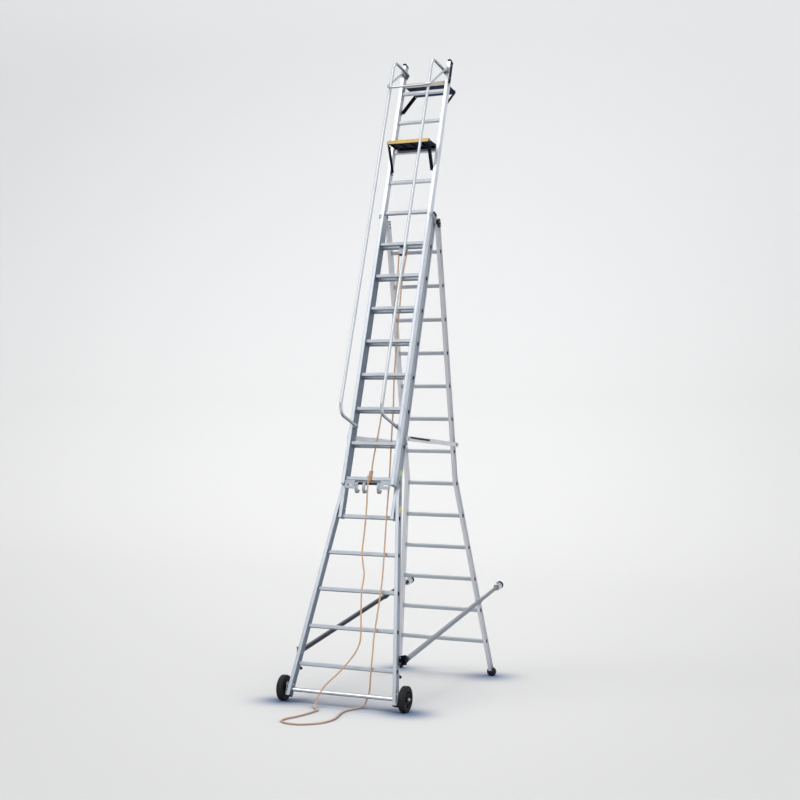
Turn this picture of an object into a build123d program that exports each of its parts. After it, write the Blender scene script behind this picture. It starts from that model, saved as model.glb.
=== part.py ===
from build123d import *
import math
import os

# Self-supporting extension ladder on wheels: a climbing base section with
# splayed lower legs, a sliding fly section with handrails, working platform
# and tool tray, a folding rear prop, two stays and two stowed outriggers.
# Millimetres, +Z up, floor at Z = 0, X along the rungs (+X is right),
# +Y towards the prop (rear) and -Y towards the climber (front).
# Base, fly and prop are built upright in leaning frames, where z is the
# station along the section.

# ---------------------------------------------------------- driving sizes
PITCH = 300.0            # rung spacing on every section
LEAN_BASE = 15.08        # base and fly lean back from vertical, degrees
LEAN_REAR = 16.57        # rear prop leans the other way, degrees
Y_SHIFT = 863.5          # from the layout origin to the middle of the footprint
BASE_Z0 = 5.7            # height of base station 0
REAR_Y0 = 2355.5         # rear station 0
REAR_Z0 = 31.3

STILE_W = 28.5           # channel width across the ladder
STILE_D = 65.0           # channel depth, front to back
STILE_T = 3.0            # channel wall
HALF_D = STILE_D / 2
RUNG_D, RUNG_H = 28.0, 30.0
RUNG_INSET = 6.5         # rung end, inside the outer face of the stile

BASE_HALF = 241.8        # outer half width, straight base stiles
BASE_IN = BASE_HALF - STILE_W
BASE_TOP = 4196.0
BASE_STRAIGHT_FROM = 1485.0
BASE_FLARE_S = 1854.0    # station where the splayed legs leave the stiles
BASE_FLARE = 0.12267     # outward run per unit of height
BASE_LEG_FROM = 46.0
SPLAYED_RUNGS = 5        # lowest base rungs, as wide as the splayed legs

FLY_HALF = 229.5
FLY_IN = FLY_HALF - STILE_W
FLY_Y = -65.5            # fly plane, in front of the base plane
FLY_D = 64.0
FLY_FRONT, FLY_REAR = FLY_Y - FLY_D / 2, FLY_Y + FLY_D / 2
FLY_FROM, FLY_TOP = 1755.0, 5684.0
FLY_FIRST_RUNG = 6

REAR_HALF = 246.3
REAR_IN = REAR_HALF - STILE_W
REAR_TOP = 4178.0
REAR_FLARE_S = 1836.0
REAR_FLARE = 0.12433
REAR_LEG_FROM = 24.0

WHEEL_R, WHEEL_X, WHEEL_Y = 100.0, 513.0, 48.0
AXLE_R = 8.0
RUN_CLEAR = 0.05         # radial running clearance of the turning parts

# Radii of the pins and bolts, with their holes
SMALL_R, SMALL_HOLE_R = 3.95, 4.0
PIN_R, PIN_HOLE_R = 4.95, 5.0
STAY_PIN_R, STAY_HOLE_R = 5.95, 6.0

KNEE_S = 1560.0                        # bolt joining leg and stile
STAY_HOOK_S = 2169.0                   # stay hook pin, in the base frame
STAY_PIVOT_Z = 2107.0                  # stay pivot on the prop, height
HINGE_S, HINGE_Y = 4150.0, 33.0        # prop hinge, in the base frame
HINGE_R = 6.0

COS_BASE, SIN_BASE = math.cos(math.radians(LEAN_BASE)), math.sin(math.radians(LEAN_BASE))
COS_REAR, SIN_REAR = math.cos(math.radians(LEAN_REAR)), math.sin(math.radians(LEAN_REAR))

BASE = Pos(0, -Y_SHIFT, BASE_Z0) * Rot(-LEAN_BASE, 0, 0)
REAR = Pos(0, REAR_Y0 - Y_SHIFT, REAR_Z0) * Rot(LEAN_REAR, 0, 0)
LAYOUT = Pos(0, -Y_SHIFT, 0)           # upright frame before the shift

os.makedirs("parts", exist_ok=True)


# ---------------------------------------------------------------- helpers
def block(x0, x1, y0, y1, z0, z1):
    middle = Pos((x0 + x1) / 2, (y0 + y1) / 2, (z0 + z1) / 2)
    return middle * Box(abs(x1 - x0), abs(y1 - y0), abs(z1 - z0))


def both(shape):
    """The shape and its mirror image on the other side of the ladder."""
    return [shape, shape.mirror(Plane.YZ)]


def bar_x(profile, x0, x1):
    return Pos(x0, 0, 0) * extrude(Plane.YZ * profile, x1 - x0)


def rod_x(radius, x0, x1, y, z):
    return Pos((x0 + x1) / 2, y, z) * Rot(0, 90, 0) * Cylinder(radius, abs(x1 - x0))


def rod_y(radius, y0, y1, x=0, z=0):
    return Pos(x, (y0 + y1) / 2, z) * Rot(90, 0, 0) * Cylinder(radius, abs(y1 - y0))


def stepped_rod(y, z, *steps):
    """Rods along X on one axis, each step (radius, x0, x1)."""
    result = rod_x(*steps[0], y, z)
    for step in steps[1:]:
        result += rod_x(*step, y, z)
    return result


def plate_yz(points, x0, x1):
    """Closed outline given as (y, z), run along X."""
    return bar_x(make_face(Polyline(*points, close=True)), x0, x1)


def plate_xz(points, y0, y1):
    """Closed outline given as (x, z), run along Y."""
    face = make_face(Polyline(*[(x, y0, z) for x, z in points], close=True))
    return extrude(face, y1 - y0, dir=(0, 1, 0))


def turned(points):
    """Closed profile given as (radius, along the axle), turned about Z."""
    return revolve(Plane.XZ * make_face(Polyline(*points, close=True)), Axis.Z)


def sweep_along(path, profile, frenet=False):
    section = Plane(origin=path @ 0, z_dir=path % 0) * profile
    return sweep(section, path=path, is_frenet=frenet)


def base_from_layout(y, z):
    height = z - BASE_Z0
    return y * COS_BASE - height * SIN_BASE, y * SIN_BASE + height * COS_BASE


def layout_from_base(y, s):
    return y * COS_BASE + s * SIN_BASE, BASE_Z0 + s * COS_BASE - y * SIN_BASE


def solids_of(shape):
    if isinstance(shape, (list, tuple)):
        return [solid for item in shape for solid in solids_of(item)]
    return list(shape.solids())


def save(name, shapes, place=Location()):
    solids = [place * solid for solid in solids_of(shapes)]
    piece = solids[0] if len(solids) == 1 else Compound(children=solids)
    piece.label = name
    export_step(piece, "parts/" + name + ".step")


# -------------------------------------------------------- rungs and legs
def rung_cutter(half):
    return bar_x(RectangleRounded(RUNG_D, RUNG_H, 5), -half, half)


def rung_tube(half):
    outside = RectangleRounded(RUNG_D, RUNG_H, 5)
    return bar_x(outside - RectangleRounded(RUNG_D - 4, RUNG_H - 4, 3), -half, half)


def rung_plug(x, y, z):
    return Pos(0, y, z) * bar_x(RectangleRounded(RUNG_D - 2, RUNG_H - 2, 6), x, x + 3.0)


def rung_set(numbers, half_at, y=0.0):
    """Cutters for the stiles, rung tubes and end plugs; half_at(s) is the half length."""
    cutters, tubes, plugs = [], [], []
    for i in numbers:
        s = PITCH * i
        half = half_at(s)
        cutters.append(Pos(0, y, s) * rung_cutter(half + 20))
        tubes.append(Pos(0, y, s) * rung_tube(half))
        plugs += both(rung_plug(half, y, s))
    return cutters, tubes, plugs


# Channel width and wall measured level, across a splayed leg
SPLAY_W = STILE_W / math.cos(math.atan(BASE_FLARE))
SPLAY_T = STILE_T / math.cos(math.atan(BASE_FLARE))


def base_out(s):
    """Outer face of the splayed base leg at station s."""
    return BASE_HALF + (BASE_FLARE_S - s) * BASE_FLARE


def rear_out(s):
    """Outer face of the splayed rear leg at station s."""
    return REAR_HALF + (REAR_FLARE_S - s) * REAR_FLARE


def splayed_channel(out, s0, s1):
    """Splayed channel, open outwards; out(s) gives its outer face."""
    outside = plate_xz([(out(s0), s0), (out(s1), s1), (out(s1) - SPLAY_W, s1),
                        (out(s0) - SPLAY_W, s0)], -HALF_D, HALF_D)
    low, high = s0 - 40.0, s1 + 40.0
    hollow = plate_xz([(out(low) + 3, low), (out(high) + 3, high),
                       (out(high) - SPLAY_W + SPLAY_T, high),
                       (out(low) - SPLAY_W + SPLAY_T, low)],
                      -HALF_D + STILE_T, HALF_D - STILE_T)
    return outside - hollow


# ----------------------------------------------- base stiles, legs, rungs
BEAM_S, BEAM_R = 95.25, 16.0
AXLE_BOLTS = [(-20, 130), (20, 62)]     # (y, station)


def base_rung_half(s):
    if s <= PITCH * SPLAYED_RUNGS:
        return base_out(s) - RUNG_INSET
    return BASE_HALF - RUNG_INSET


base_cutters, base_rungs, base_plugs = rung_set(range(1, 14), base_rung_half)

stile = block(BASE_IN, BASE_HALF, -HALF_D, HALF_D, BASE_STRAIGHT_FROM, BASE_TOP)
stile -= block(BASE_IN + STILE_T, BASE_HALF + 5, -HALF_D + STILE_T, HALF_D - STILE_T,
               BASE_STRAIGHT_FROM - 5, BASE_TOP + 5)
# The top splayed rung passes through both the leg and the straight stile.
for cutter in base_cutters[SPLAYED_RUNGS - 1:]:
    stile -= cutter
stile -= rod_x(PIN_HOLE_R, 200, 230, 0, KNEE_S)
stile -= rod_x(STAY_HOLE_R, 200, 230, 0, STAY_HOOK_S)
save("base_stiles", both(stile), BASE)

leg = splayed_channel(base_out, BASE_LEG_FROM, BASE_FLARE_S)
# Cut away where the leg would overlap the straight stile.
leg -= block(150, BASE_HALF + 0.3, -50, 50, 1300, 1900)
for cutter in base_cutters[:SPLAYED_RUNGS]:
    leg -= cutter
leg -= rod_x(PIN_HOLE_R, 230, 300, 0, KNEE_S)
leg -= rod_x(BEAM_R, 380, 500, 0, BEAM_S)
for bolt_y, bolt_s in AXLE_BOLTS:
    leg -= rod_x(SMALL_HOLE_R, 400, 480, bolt_y, bolt_s)
leg -= rod_x(PIN_HOLE_R, 380, 460, 0, 385)
save("base_legs", both(leg), BASE)
save("base_rungs", base_rungs, BASE)
save("base_rung_plugs", base_plugs, BASE)

top_cap = block(BASE_IN, BASE_HALF, -HALF_D, HALF_D - 6, BASE_TOP, BASE_TOP + 24)
top_cap = chamfer(top_cap.edges().group_by(Axis.Z)[-1], 4)
top_cap += block(BASE_IN + STILE_T + .2, BASE_HALF, -28, 28, BASE_TOP - 30, BASE_TOP)
leg_end = base_out(BASE_LEG_FROM)
leg_cap = plate_xz([(leg_end - SPLAY_W - .5, BASE_LEG_FROM - 8), (leg_end + 1, BASE_LEG_FROM - 8),
                    (leg_end + 1, BASE_LEG_FROM), (leg_end - SPLAY_W - .5, BASE_LEG_FROM)],
                   -HALF_D, HALF_D)
save("base_end_caps", both(top_cap) + both(leg_cap), BASE)

# Splice of the splayed leg onto the straight stile: spacer, bolt, rear plate
knee_x = base_out(KNEE_S) - SPLAY_W     # inner face of the leg at the bolt
sleeve = (rod_x(9, BASE_IN + STILE_T, knee_x - 1.2, 0, KNEE_S)
          - rod_x(PIN_HOLE_R, 200, 300, 0, KNEE_S))
knee_bolt = stepped_rod(0, KNEE_S, (PIN_R, BASE_IN - 4, knee_x + 14),
                        (8.5, BASE_IN - 9, BASE_IN), (8.5, knee_x + 5.2, knee_x + 12))
knee_plate = plate_xz([(BASE_IN + 2, 1500), (base_out(1500) - 3, 1500),
                       (base_out(1780) - 3, 1780), (BASE_HALF - 4, 1838),
                       (BASE_IN + 2, 1838)], HALF_D, HALF_D + 4)
save("knee_splices", both(sleeve) + both(knee_bolt) + both(knee_plate), BASE)

# -------------------------------------------- axle beam and wheel brackets
beam = rod_x(BEAM_R, -438, 438, 0, BEAM_S) - rod_x(BEAM_R - 2.5, -500, 500, 0, BEAM_S)
save("axle_beam", beam, BASE)

BRACKET_X0, BRACKET_X1 = 466, 471
axle_y, axle_s = base_from_layout(WHEEL_Y, WHEEL_R)
axle_bracket = plate_yz([(-30, 48), (-30, 150), (10, 150), (axle_y + 22, axle_s + 16),
                         (axle_y + 22, axle_s - 18), (8, 48)], BRACKET_X0, BRACKET_X1)
axle_bracket += rod_x(15, BRACKET_X0, 486, axle_y, axle_s)
axle_bracket -= rod_x(AXLE_R, 460, 490, axle_y, axle_s)
axle_bolts = []
for bolt_y, bolt_s in AXLE_BOLTS:
    axle_bracket -= rod_x(SMALL_HOLE_R, 460, 480, bolt_y, bolt_s)
    leg_in = base_out(bolt_s) - SPLAY_W
    bolt = stepped_rod(bolt_y, bolt_s, (SMALL_R, leg_in - 3, BRACKET_X1 + 5),
                       (7, leg_in - 8, leg_in - 1.2), (7, BRACKET_X1, BRACKET_X1 + 5))
    spacer = (rod_x(7, leg_in + SPLAY_T + 1.2, BRACKET_X0, bolt_y, bolt_s)
              - rod_x(SMALL_HOLE_R, 400, 480, bolt_y, bolt_s))
    axle_bolts += both(bolt) + both(spacer)
save("axle_brackets", both(axle_bracket), BASE)
axle_pin = stepped_rod(axle_y, axle_s, (AXLE_R, 462, 543), (12, 540.5, 546))
save("axle_pins", both(axle_pin) + axle_bolts, BASE)

# ------------------------------------------------ small parts on the base
# Stub handle on the rear of each leg
STUB_S = 272
stub_x = base_out(STUB_S)
stub = block(stub_x - 22, stub_x - 2, HALF_D, HALF_D + 12, STUB_S - 14, STUB_S + 14)
stub += rod_y(11, HALF_D + 10, HALF_D + 58, stub_x - 12, STUB_S)
save("leg_stubs", both(stub), BASE)

# Coloured marker patches inside the rear flange of the stile and the leg
PATCHES = [              # x0, x1, s0, s1
    (219, 239.5, 1862, 1908),
    (219, 239.5, 1694, 1760),
    (255.5, 269, 1552, 1606),
]
patches = []
for x0, x1, s0, s1 in PATCHES:
    patches += both(block(x0, x1, HALF_D - STILE_T - .6, HALF_D - STILE_T, s0, s1))
save("marker_patches", patches, BASE)

# Bracket at the base top: guides the fly and carries the prop hinge
GUIDE_X0, GUIDE_X1 = BASE_HALF + .2, BASE_HALF + 3.8
GUIDE_S0, GUIDE_S1 = 4150, 4178
GUIDE_FRONT = FLY_FRONT - 5
guide = block(GUIDE_X0, GUIDE_X1, GUIDE_FRONT, -10, GUIDE_S0, GUIDE_S1)
guide += plate_yz([(-22, 4116), (20, 4112), (44, 4132), (50, 4150), (44, 4168), (20, 4178),
                   (-22, 4178)], GUIDE_X0, GUIDE_X1)
guide += block(FLY_HALF - 8, GUIDE_X1, GUIDE_FRONT, FLY_FRONT - 1.5, GUIDE_S0, GUIDE_S1)
guide -= rod_x(HINGE_R + RUN_CLEAR, 230, 260, HINGE_Y, HINGE_S)
save("top_guide_brackets", both(guide), BASE)

# Pins on the base stiles that hold the stay hooks
hook_pin = stepped_rod(0, STAY_HOOK_S, (STAY_PIN_R, BASE_IN - 3, 272), (10, 268.5, 273),
                       (10, BASE_IN - 6, BASE_IN), (10, BASE_IN + STILE_T, BASE_HALF + 4))
save("stay_hook_pins", both(hook_pin), BASE)

# Pulley in front of the base, below the top rung; its axle runs front to back
PULLEY_S = 3842.0
PULLEY_AHEAD = 32.5      # sheave middle, in front of the base plane
PULLEY_PIN_R = 5
BACK_Y0, BACK_Y1 = -19, -15
FRONT_Y0, FRONT_Y1 = -47, -43.5
back_plate = block(-34, 34, BACK_Y0, BACK_Y1, 3812, 3912)
front_plate = block(-34, 34, FRONT_Y0, FRONT_Y1, 3818, 3904)
front_plate = fillet(front_plate.edges().filter_by(Axis.Y), 14)
pulley_pin = rod_y(PULLEY_PIN_R, FRONT_Y0 + .1, BACK_Y1 - .1, z=PULLEY_S)
back_plate -= rod_y(PULLEY_PIN_R, -30, 0, z=PULLEY_S)
front_plate -= rod_y(PULLEY_PIN_R, -60, -30, z=PULLEY_S)
spacer = rod_y(4, FRONT_Y1, BACK_Y0, z=3895)
bolt_heads = [rod_y(4, BACK_Y0 - 4, BACK_Y0, x, 3901) for x in (-22, 22)]
save("pulley_bracket", [back_plate, front_plate, pulley_pin, spacer] + bolt_heads, BASE)

SHEAVE_BORE = PULLEY_PIN_R + RUN_CLEAR
SHEAVE = [               # radius, along the axle
    (SHEAVE_BORE, -7), (38.5, -7), (38.5, -6.7), (31.3, -4.6),
    (31.3, 4.6), (38.5, 6.7), (38.5, 7), (SHEAVE_BORE, 7),
]
save("pulley_sheave", Pos(0, -PULLEY_AHEAD, PULLEY_S) * Rot(90, 0, 0) * turned(SHEAVE), BASE)

# ---------------------------------------------------- fly stiles and rungs
# Pivots and strut feet of the two panels: (y, z) in layout, (y, s) on the base
PLATFORM_PIVOT = (1218.0, 4699.0)
TRAY_PIVOT = (1375.0, 5309.0)
PLATFORM_FOOT = (FLY_Y, 4590.0)
TRAY_FOOT = (FLY_Y + 8, 5205.0)
PANEL_PIVOTS = [base_from_layout(*PLATFORM_PIVOT), base_from_layout(*TRAY_PIVOT)]
STRUT_FEET = [PLATFORM_FOOT, TRAY_FOOT]

fly_half = FLY_IN + STILE_T + 1.5
fly_cutters, fly_rungs, fly_plugs = rung_set(range(FLY_FIRST_RUNG, 19), lambda s: fly_half, FLY_Y)
fly = block(FLY_IN, FLY_HALF, FLY_FRONT, FLY_REAR, FLY_FROM, FLY_TOP)
fly -= block(FLY_IN + STILE_T, FLY_HALF + 5, FLY_FRONT + STILE_T, FLY_REAR - STILE_T,
             FLY_FROM - 5, FLY_TOP + 5)
for cutter in fly_cutters:
    fly -= cutter
for y, s in PANEL_PIVOTS + STRUT_FEET:
    fly -= rod_x(PIN_HOLE_R, FLY_IN - 5, FLY_IN + 10, y, s)
save("fly_stiles", both(fly), BASE)
save("fly_rungs", fly_rungs, BASE)
save("fly_rung_plugs", fly_plugs, BASE)

fly_cap = block(FLY_IN - .5, FLY_HALF + .5, FLY_FRONT - .5, FLY_REAR + .5, FLY_TOP, FLY_TOP + 24)
fly_cap = fillet(fly_cap.edges().group_by(Axis.Z)[-1], 8)
fly_cap += block(FLY_IN + STILE_T + .2, FLY_HALF - .5, FLY_Y - 28, FLY_Y + 28,
                 FLY_TOP - 190, FLY_TOP)
fly_low_cap = block(FLY_IN, FLY_HALF, FLY_FRONT, FLY_REAR, FLY_FROM - 8, FLY_FROM)
save("fly_end_caps", both(fly_cap) + both(fly_low_cap), BASE)

# ------------------------------------------------ handrails and guard hoop
RAIL_X, RAIL_R = 178.0, 12.5
RAIL_S0, RAIL_S1 = 2247, 5588           # stations of the two rail ends
HOOP_X, HOOP_R = 206.0, 9.0
HOOP_PIN = (-120.0, 5592.0)             # (y, station)
HOOP_FRONT = (-432.0, 5236.0)
HOOP_PIN_R = 4

rail_path = FilletPolyline((RAIL_X, -60, RAIL_S0), (RAIL_X, -429, 2240), (RAIL_X, -391, 5528),
                           (RAIL_X, -130, RAIL_S1), (RAIL_X, -60, RAIL_S1), radius=88)
rail = sweep_along(rail_path, Circle(RAIL_R) - Circle(RAIL_R - 2))
save("handrails", both(rail), BASE)

rail_brackets = []
for s in (RAIL_S0, RAIL_S1):
    bracket = block(RAIL_X + 4, FLY_IN, FLY_Y - 22, FLY_Y + 22, s - 20, s + 20)
    bracket -= block(RAIL_X - 30, RAIL_X + 12.7, FLY_Y - 30, FLY_Y + 30, s - 12.7, s + 12.7)
    rail_brackets += both(bracket)
lug_x = HOOP_X + HOOP_R
hoop_bracket = block(FLY_IN + 3, FLY_HALF, FLY_FRONT - 3, FLY_FRONT, 5558, 5622)
hoop_bracket += block(lug_x + .5, lug_x + 4.5, FLY_FRONT - 36, FLY_FRONT, 5570, 5610)
hoop_bracket -= rod_x(HOOP_PIN_R, 200, 230, *HOOP_PIN)
hoop_in = HOOP_X - HOOP_R
hoop_pin = stepped_rod(*HOOP_PIN, (HOOP_PIN_R, hoop_in - 3, lug_x + 4.5),
                       (6.5, hoop_in - 5, hoop_in - .3))
save("handrail_brackets", rail_brackets + both(hoop_bracket) + both(hoop_pin), BASE)

# The hoop's arms run on past their pins by the rod radius.
arm_y, arm_s = HOOP_FRONT[0] - HOOP_PIN[0], HOOP_FRONT[1] - HOOP_PIN[1]
arm = math.hypot(arm_y, arm_s)
hoop_end = (HOOP_PIN[0] - arm_y / arm * HOOP_R, HOOP_PIN[1] - arm_s / arm * HOOP_R)
hoop_path = FilletPolyline((-HOOP_X, *hoop_end), (-HOOP_X, *HOOP_FRONT),
                           (HOOP_X, *HOOP_FRONT), (HOOP_X, *hoop_end), radius=76)
hoop = sweep_along(hoop_path, Circle(HOOP_R))
hoop -= rod_x(HOOP_PIN_R + RUN_CLEAR, -230, 230, *HOOP_PIN)
save("guard_hoop", hoop, BASE)

# -------------------------------------------------- small parts on the fly
# Pins in the fly stiles for the platform, the tray and their strut feet
panel_pins = []
for pin_x, places in ((176, PANEL_PIVOTS), (190.3, STRUT_FEET)):
    for y, s in places:
        panel_pins += both(stepped_rod(y, s, (PIN_R, pin_x, FLY_IN + 8),
                                       (8, FLY_IN + 3, FLY_IN + 8)))
save("panel_pins", panel_pins, BASE)

# Latch under the bottom fly rung
LATCH_Y, LATCH_S = -75.0, 1757.0
LATCH_R = 8
side_plate = block(112, FLY_IN, LATCH_Y - 14, LATCH_Y - 10, 1712, 1783)
side_plate += block(112, 118, LATCH_Y - 14, LATCH_Y + 14, 1738, 1776)
side_plate -= rod_x(LATCH_R + RUN_CLEAR, 100, 130, LATCH_Y, LATCH_S)
side_plate -= block(140, 180, LATCH_Y - 20, LATCH_Y - 5, 1738, 1748)
save("latch_side_plates", both(side_plate), BASE)
save("latch_shaft", rod_x(LATCH_R, -122, 122, LATCH_Y, LATCH_S), BASE)

LATCH_HOOK = [           # y, station
    (-88, 1757), (-81, 1757), (-79, 1722), (-68, 1700), (-52, 1694), (-42, 1702),
    (-40, 1716), (-34, 1716), (-35, 1699), (-49, 1684), (-70, 1690), (-86, 1714),
]


def latch_hook(x0, x1):
    hook = rod_x(13, x0, x1, LATCH_Y, LATCH_S)
    hook += plate_yz(LATCH_HOOK, x0, x1)
    return hook - rod_x(LATCH_R, x0 - 5, x1 + 5, LATCH_Y, LATCH_S)


save("latch_hooks", [latch_hook(x, x + 26) for x in (-110, -44, 84)], BASE)

# Blocks between the fly and the base, beside the lowest fly rung
save("fly_guide_blocks", both(block(204, 212.3, -33.5, -17, 1768, 1840)), BASE)

# ------------------------------------------------------ platform and tray
PANEL_HALF = 187.0
RIB_X = (-95, 0, 95)
STRUT_X0, STRUT_X1 = 191.0, 195.0
STRUT_W = 24             # width of the strut bar
STRUT_EAR = 13           # bar length beyond the pivot and the foot
NOTCH_R = 5.3
PLATFORM_STRUT = (1012.0, 4699.0)       # strut pivots on the panels, (y, z)
TRAY_STRUT = (1622.0, 5312.0)


def panel(outside, pocket, rib, pivot, strut_pivot):
    """Ribbed panel; the sizes are (y0, y1, z0, z1)."""
    result = (block(-PANEL_HALF, PANEL_HALF, *outside)
              - block(-PANEL_HALF + 3, PANEL_HALF - 3, *pocket))
    for x in RIB_X:
        result += block(x - 2, x + 2, *rib)
    result -= rod_x(PIN_R + RUN_CLEAR, -200, 200, *pivot)
    for side in (1, -1):
        result -= rod_x(PIN_HOLE_R, side * (PANEL_HALF - 10), side * (PANEL_HALF + 10),
                        *strut_pivot)
    return result


def strut(pivot, foot, lip_side):
    """Angle bar from pivot to foot, both (y, z), with a lip turned inwards.

    lip_side is 1 for a lip on the front edge, -1 for the rear edge. The foot
    is notched open on the opposite edge.
    """
    length = math.hypot(foot[0] - pivot[0], foot[1] - pivot[1])
    uy, uz = (foot[0] - pivot[0]) / length, (foot[1] - pivot[1]) / length

    def off(point, along, across):
        # across is positive towards the lip
        return (point[0] + uy * along + uz * across * lip_side,
                point[1] + uz * along - uy * across * lip_side)

    half, near = STRUT_W / 2 * lip_side, STRUT_W / 2 - 3
    bar = plate_yz([off(pivot, -STRUT_EAR, -half), off(pivot, -STRUT_EAR, half),
                    off(foot, STRUT_EAR, half), off(foot, STRUT_EAR, -half)],
                   STRUT_X0, STRUT_X1)
    lip = plate_yz([off(pivot, 24, near), off(pivot, 24, STRUT_W / 2),
                    off(foot, -14, STRUT_W / 2), off(foot, -14, near)],
                   STRUT_X1 - 24, STRUT_X0 + .5)
    notch = plate_yz([off(foot, NOTCH_R, 0), off(foot, -NOTCH_R, 0),
                      off(foot, -NOTCH_R, -30), off(foot, NOTCH_R, -30)],
                     STRUT_X0 - 2, STRUT_X1 + 2)
    result = bar + lip
    result -= rod_x(NOTCH_R, STRUT_X0 - 2, STRUT_X1 + 2, *foot)
    result -= notch
    result += stepped_rod(*pivot, (PIN_R, PANEL_HALF - 6, STRUT_X0),
                          (9, PANEL_HALF + .6, STRUT_X0))
    return result


platform = panel((999, 1234, 4688, 4710), (1004, 1229, 4680, 4706), (1004, 1229, 4690, 4706),
                 PLATFORM_PIVOT, PLATFORM_STRUT)
save("platform_frame", platform, LAYOUT)
save("platform_deck", block(-PANEL_HALF + 2, PANEL_HALF - 2, 1001, 1232, 4710, 4715), LAYOUT)
edge_half = PANEL_HALF + 1
front_edge = (block(-edge_half, edge_half, 993, 999, 4688, 4717)
              + block(-edge_half, edge_half, 993, 1001, 4715, 4717))
save("platform_front_edge", front_edge, LAYOUT)
platform_strut = strut(PLATFORM_STRUT, layout_from_base(*PLATFORM_FOOT), 1)
save("platform_struts", both(platform_strut), LAYOUT)

tray = panel((1365, 1640, 5298, 5328), (1368, 1637, 5301, 5340), (1367, 1638, 5301, 5306),
             TRAY_PIVOT, TRAY_STRUT)
tray_edge = block(-PANEL_HALF, PANEL_HALF, 1360.5, 1365, 5298, 5332)
save("tool_tray", [tray, tray_edge], LAYOUT)
save("tray_struts", both(strut(TRAY_STRUT, layout_from_base(*TRAY_FOOT), -1)), LAYOUT)

# --------------------------------------------------------------- rear prop
REAR_BOLTS = (4127, 4158)               # stations of the hinge plate bolts
STAY_X0, STAY_X1 = 251.5, 267.0
stay_s = (STAY_PIVOT_Z - REAR_Z0) / COS_REAR


def rear_rung_half(s):
    return (rear_out(s) if s < REAR_FLARE_S else REAR_HALF) - RUNG_INSET


rear_cutters, rear_rungs, rear_plugs = rung_set(range(1, 14), rear_rung_half)
rear_stile = block(REAR_IN, REAR_HALF, -HALF_D, HALF_D, REAR_FLARE_S, REAR_TOP)
rear_stile -= block(REAR_IN + STILE_T, REAR_HALF + 5, -HALF_D + STILE_T, HALF_D - STILE_T,
                    REAR_FLARE_S - 1, REAR_TOP + 5)
rear_leg = splayed_channel(rear_out, REAR_LEG_FROM, REAR_FLARE_S + 3)
rear_leg -= block(100, 400, -50, 50, REAR_FLARE_S, REAR_FLARE_S + 60)
rear_stile = rear_stile + rear_leg
for cutter in rear_cutters:
    rear_stile -= cutter
rear_stile -= rod_x(STAY_HOLE_R, 200, 240, 0, stay_s)
for s in REAR_BOLTS:
    rear_stile -= rod_x(SMALL_HOLE_R, 200, 240, 0, s)
save("rear_stiles", both(rear_stile), REAR)
save("rear_rungs", rear_rungs, REAR)
save("rear_rung_plugs", rear_plugs, REAR)

rear_cap = block(REAR_IN, REAR_HALF, -HALF_D + 6, HALF_D, REAR_TOP, REAR_TOP + 6)
rear_cap += (block(REAR_IN + STILE_T + .2, REAR_HALF - .5, -20, 28, REAR_TOP - 70, REAR_TOP)
             - rod_x(9, 200, 300, 0, REAR_BOLTS[1]) - rod_x(9, 200, 300, 0, REAR_BOLTS[0]))
save("rear_end_caps", both(rear_cap), REAR)

# Rubber feet: spheres cut flat at the floor and cut away where the leg enters
FOOT_R, FOOT_Z = 43, 38
foot_x = rear_out(0) - SPLAY_W / 2
foot_y = REAR_Y0 - Y_SHIFT + 4.0 * SIN_REAR
foot = Pos(foot_x, foot_y, FOOT_Z) * Sphere(FOOT_R)
foot -= block(foot_x - 60, foot_x + 60, foot_y - 60, foot_y + 60, -40, 0)
low_x, high_x = rear_out(REAR_LEG_FROM), rear_out(110)
foot -= REAR * plate_xz([(low_x - SPLAY_W - 1.5, REAR_LEG_FROM - .5),
                         (low_x + 8, REAR_LEG_FROM - .5), (high_x + 8, 110),
                         (high_x - SPLAY_W - 1.5, 110)], -HALF_D - 1, HALF_D + 1)
save("rear_feet", both(foot))

# Hinge plates on the rear stile, bored for the hinge pin
HINGE_X0 = REAR_HALF + .3
hinge_y, hinge_z = layout_from_base(HINGE_Y, HINGE_S)
hinge = (REAR.inverse() * Pos(0, hinge_y - Y_SHIFT, hinge_z)).position
hinge_plate = plate_yz([(HALF_D - 2, 4112), (HALF_D - 2, 4158), (HALF_D - 8, 4172),
                        (-HALF_D, 4176), (hinge.Y - 13, hinge.Z + 14), (hinge.Y - 17, hinge.Z),
                        (hinge.Y - 13, hinge.Z - 14), (-HALF_D, 4112)], HINGE_X0, HINGE_X0 + 4)
hinge_plate -= rod_x(HINGE_R, HINGE_X0 - 5, HINGE_X0 + 10, hinge.Y, hinge.Z)
hinge_pin = stepped_rod(hinge.Y, hinge.Z, (HINGE_R, BASE_HALF + .3, HINGE_X0 + 8),
                        (10, HINGE_X0 + 4, HINGE_X0 + 9))
rear_bolts = []
for s in REAR_BOLTS:
    hinge_plate -= rod_x(SMALL_HOLE_R, HINGE_X0 - 5, HINGE_X0 + 10, 0, s)
    rear_bolts += both(stepped_rod(0, s, (SMALL_R, REAR_IN - 5, HINGE_X0 + 8),
                                   (7, HINGE_X0 + 4, HINGE_X0 + 8), (7, REAR_IN - 6, REAR_IN)))
save("rear_hinge_plates", both(hinge_plate), REAR)
stay_pin = stepped_rod(0, stay_s, (STAY_PIN_R, REAR_IN - 4, 273), (10, 267.6, 273),
                       (10, REAR_IN - 7, REAR_IN), (9, REAR_IN + STILE_T, STAY_X0 - .6))
save("rear_pivot_pins", both(hinge_pin) + rear_bolts + both(stay_pin), REAR)


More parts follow.
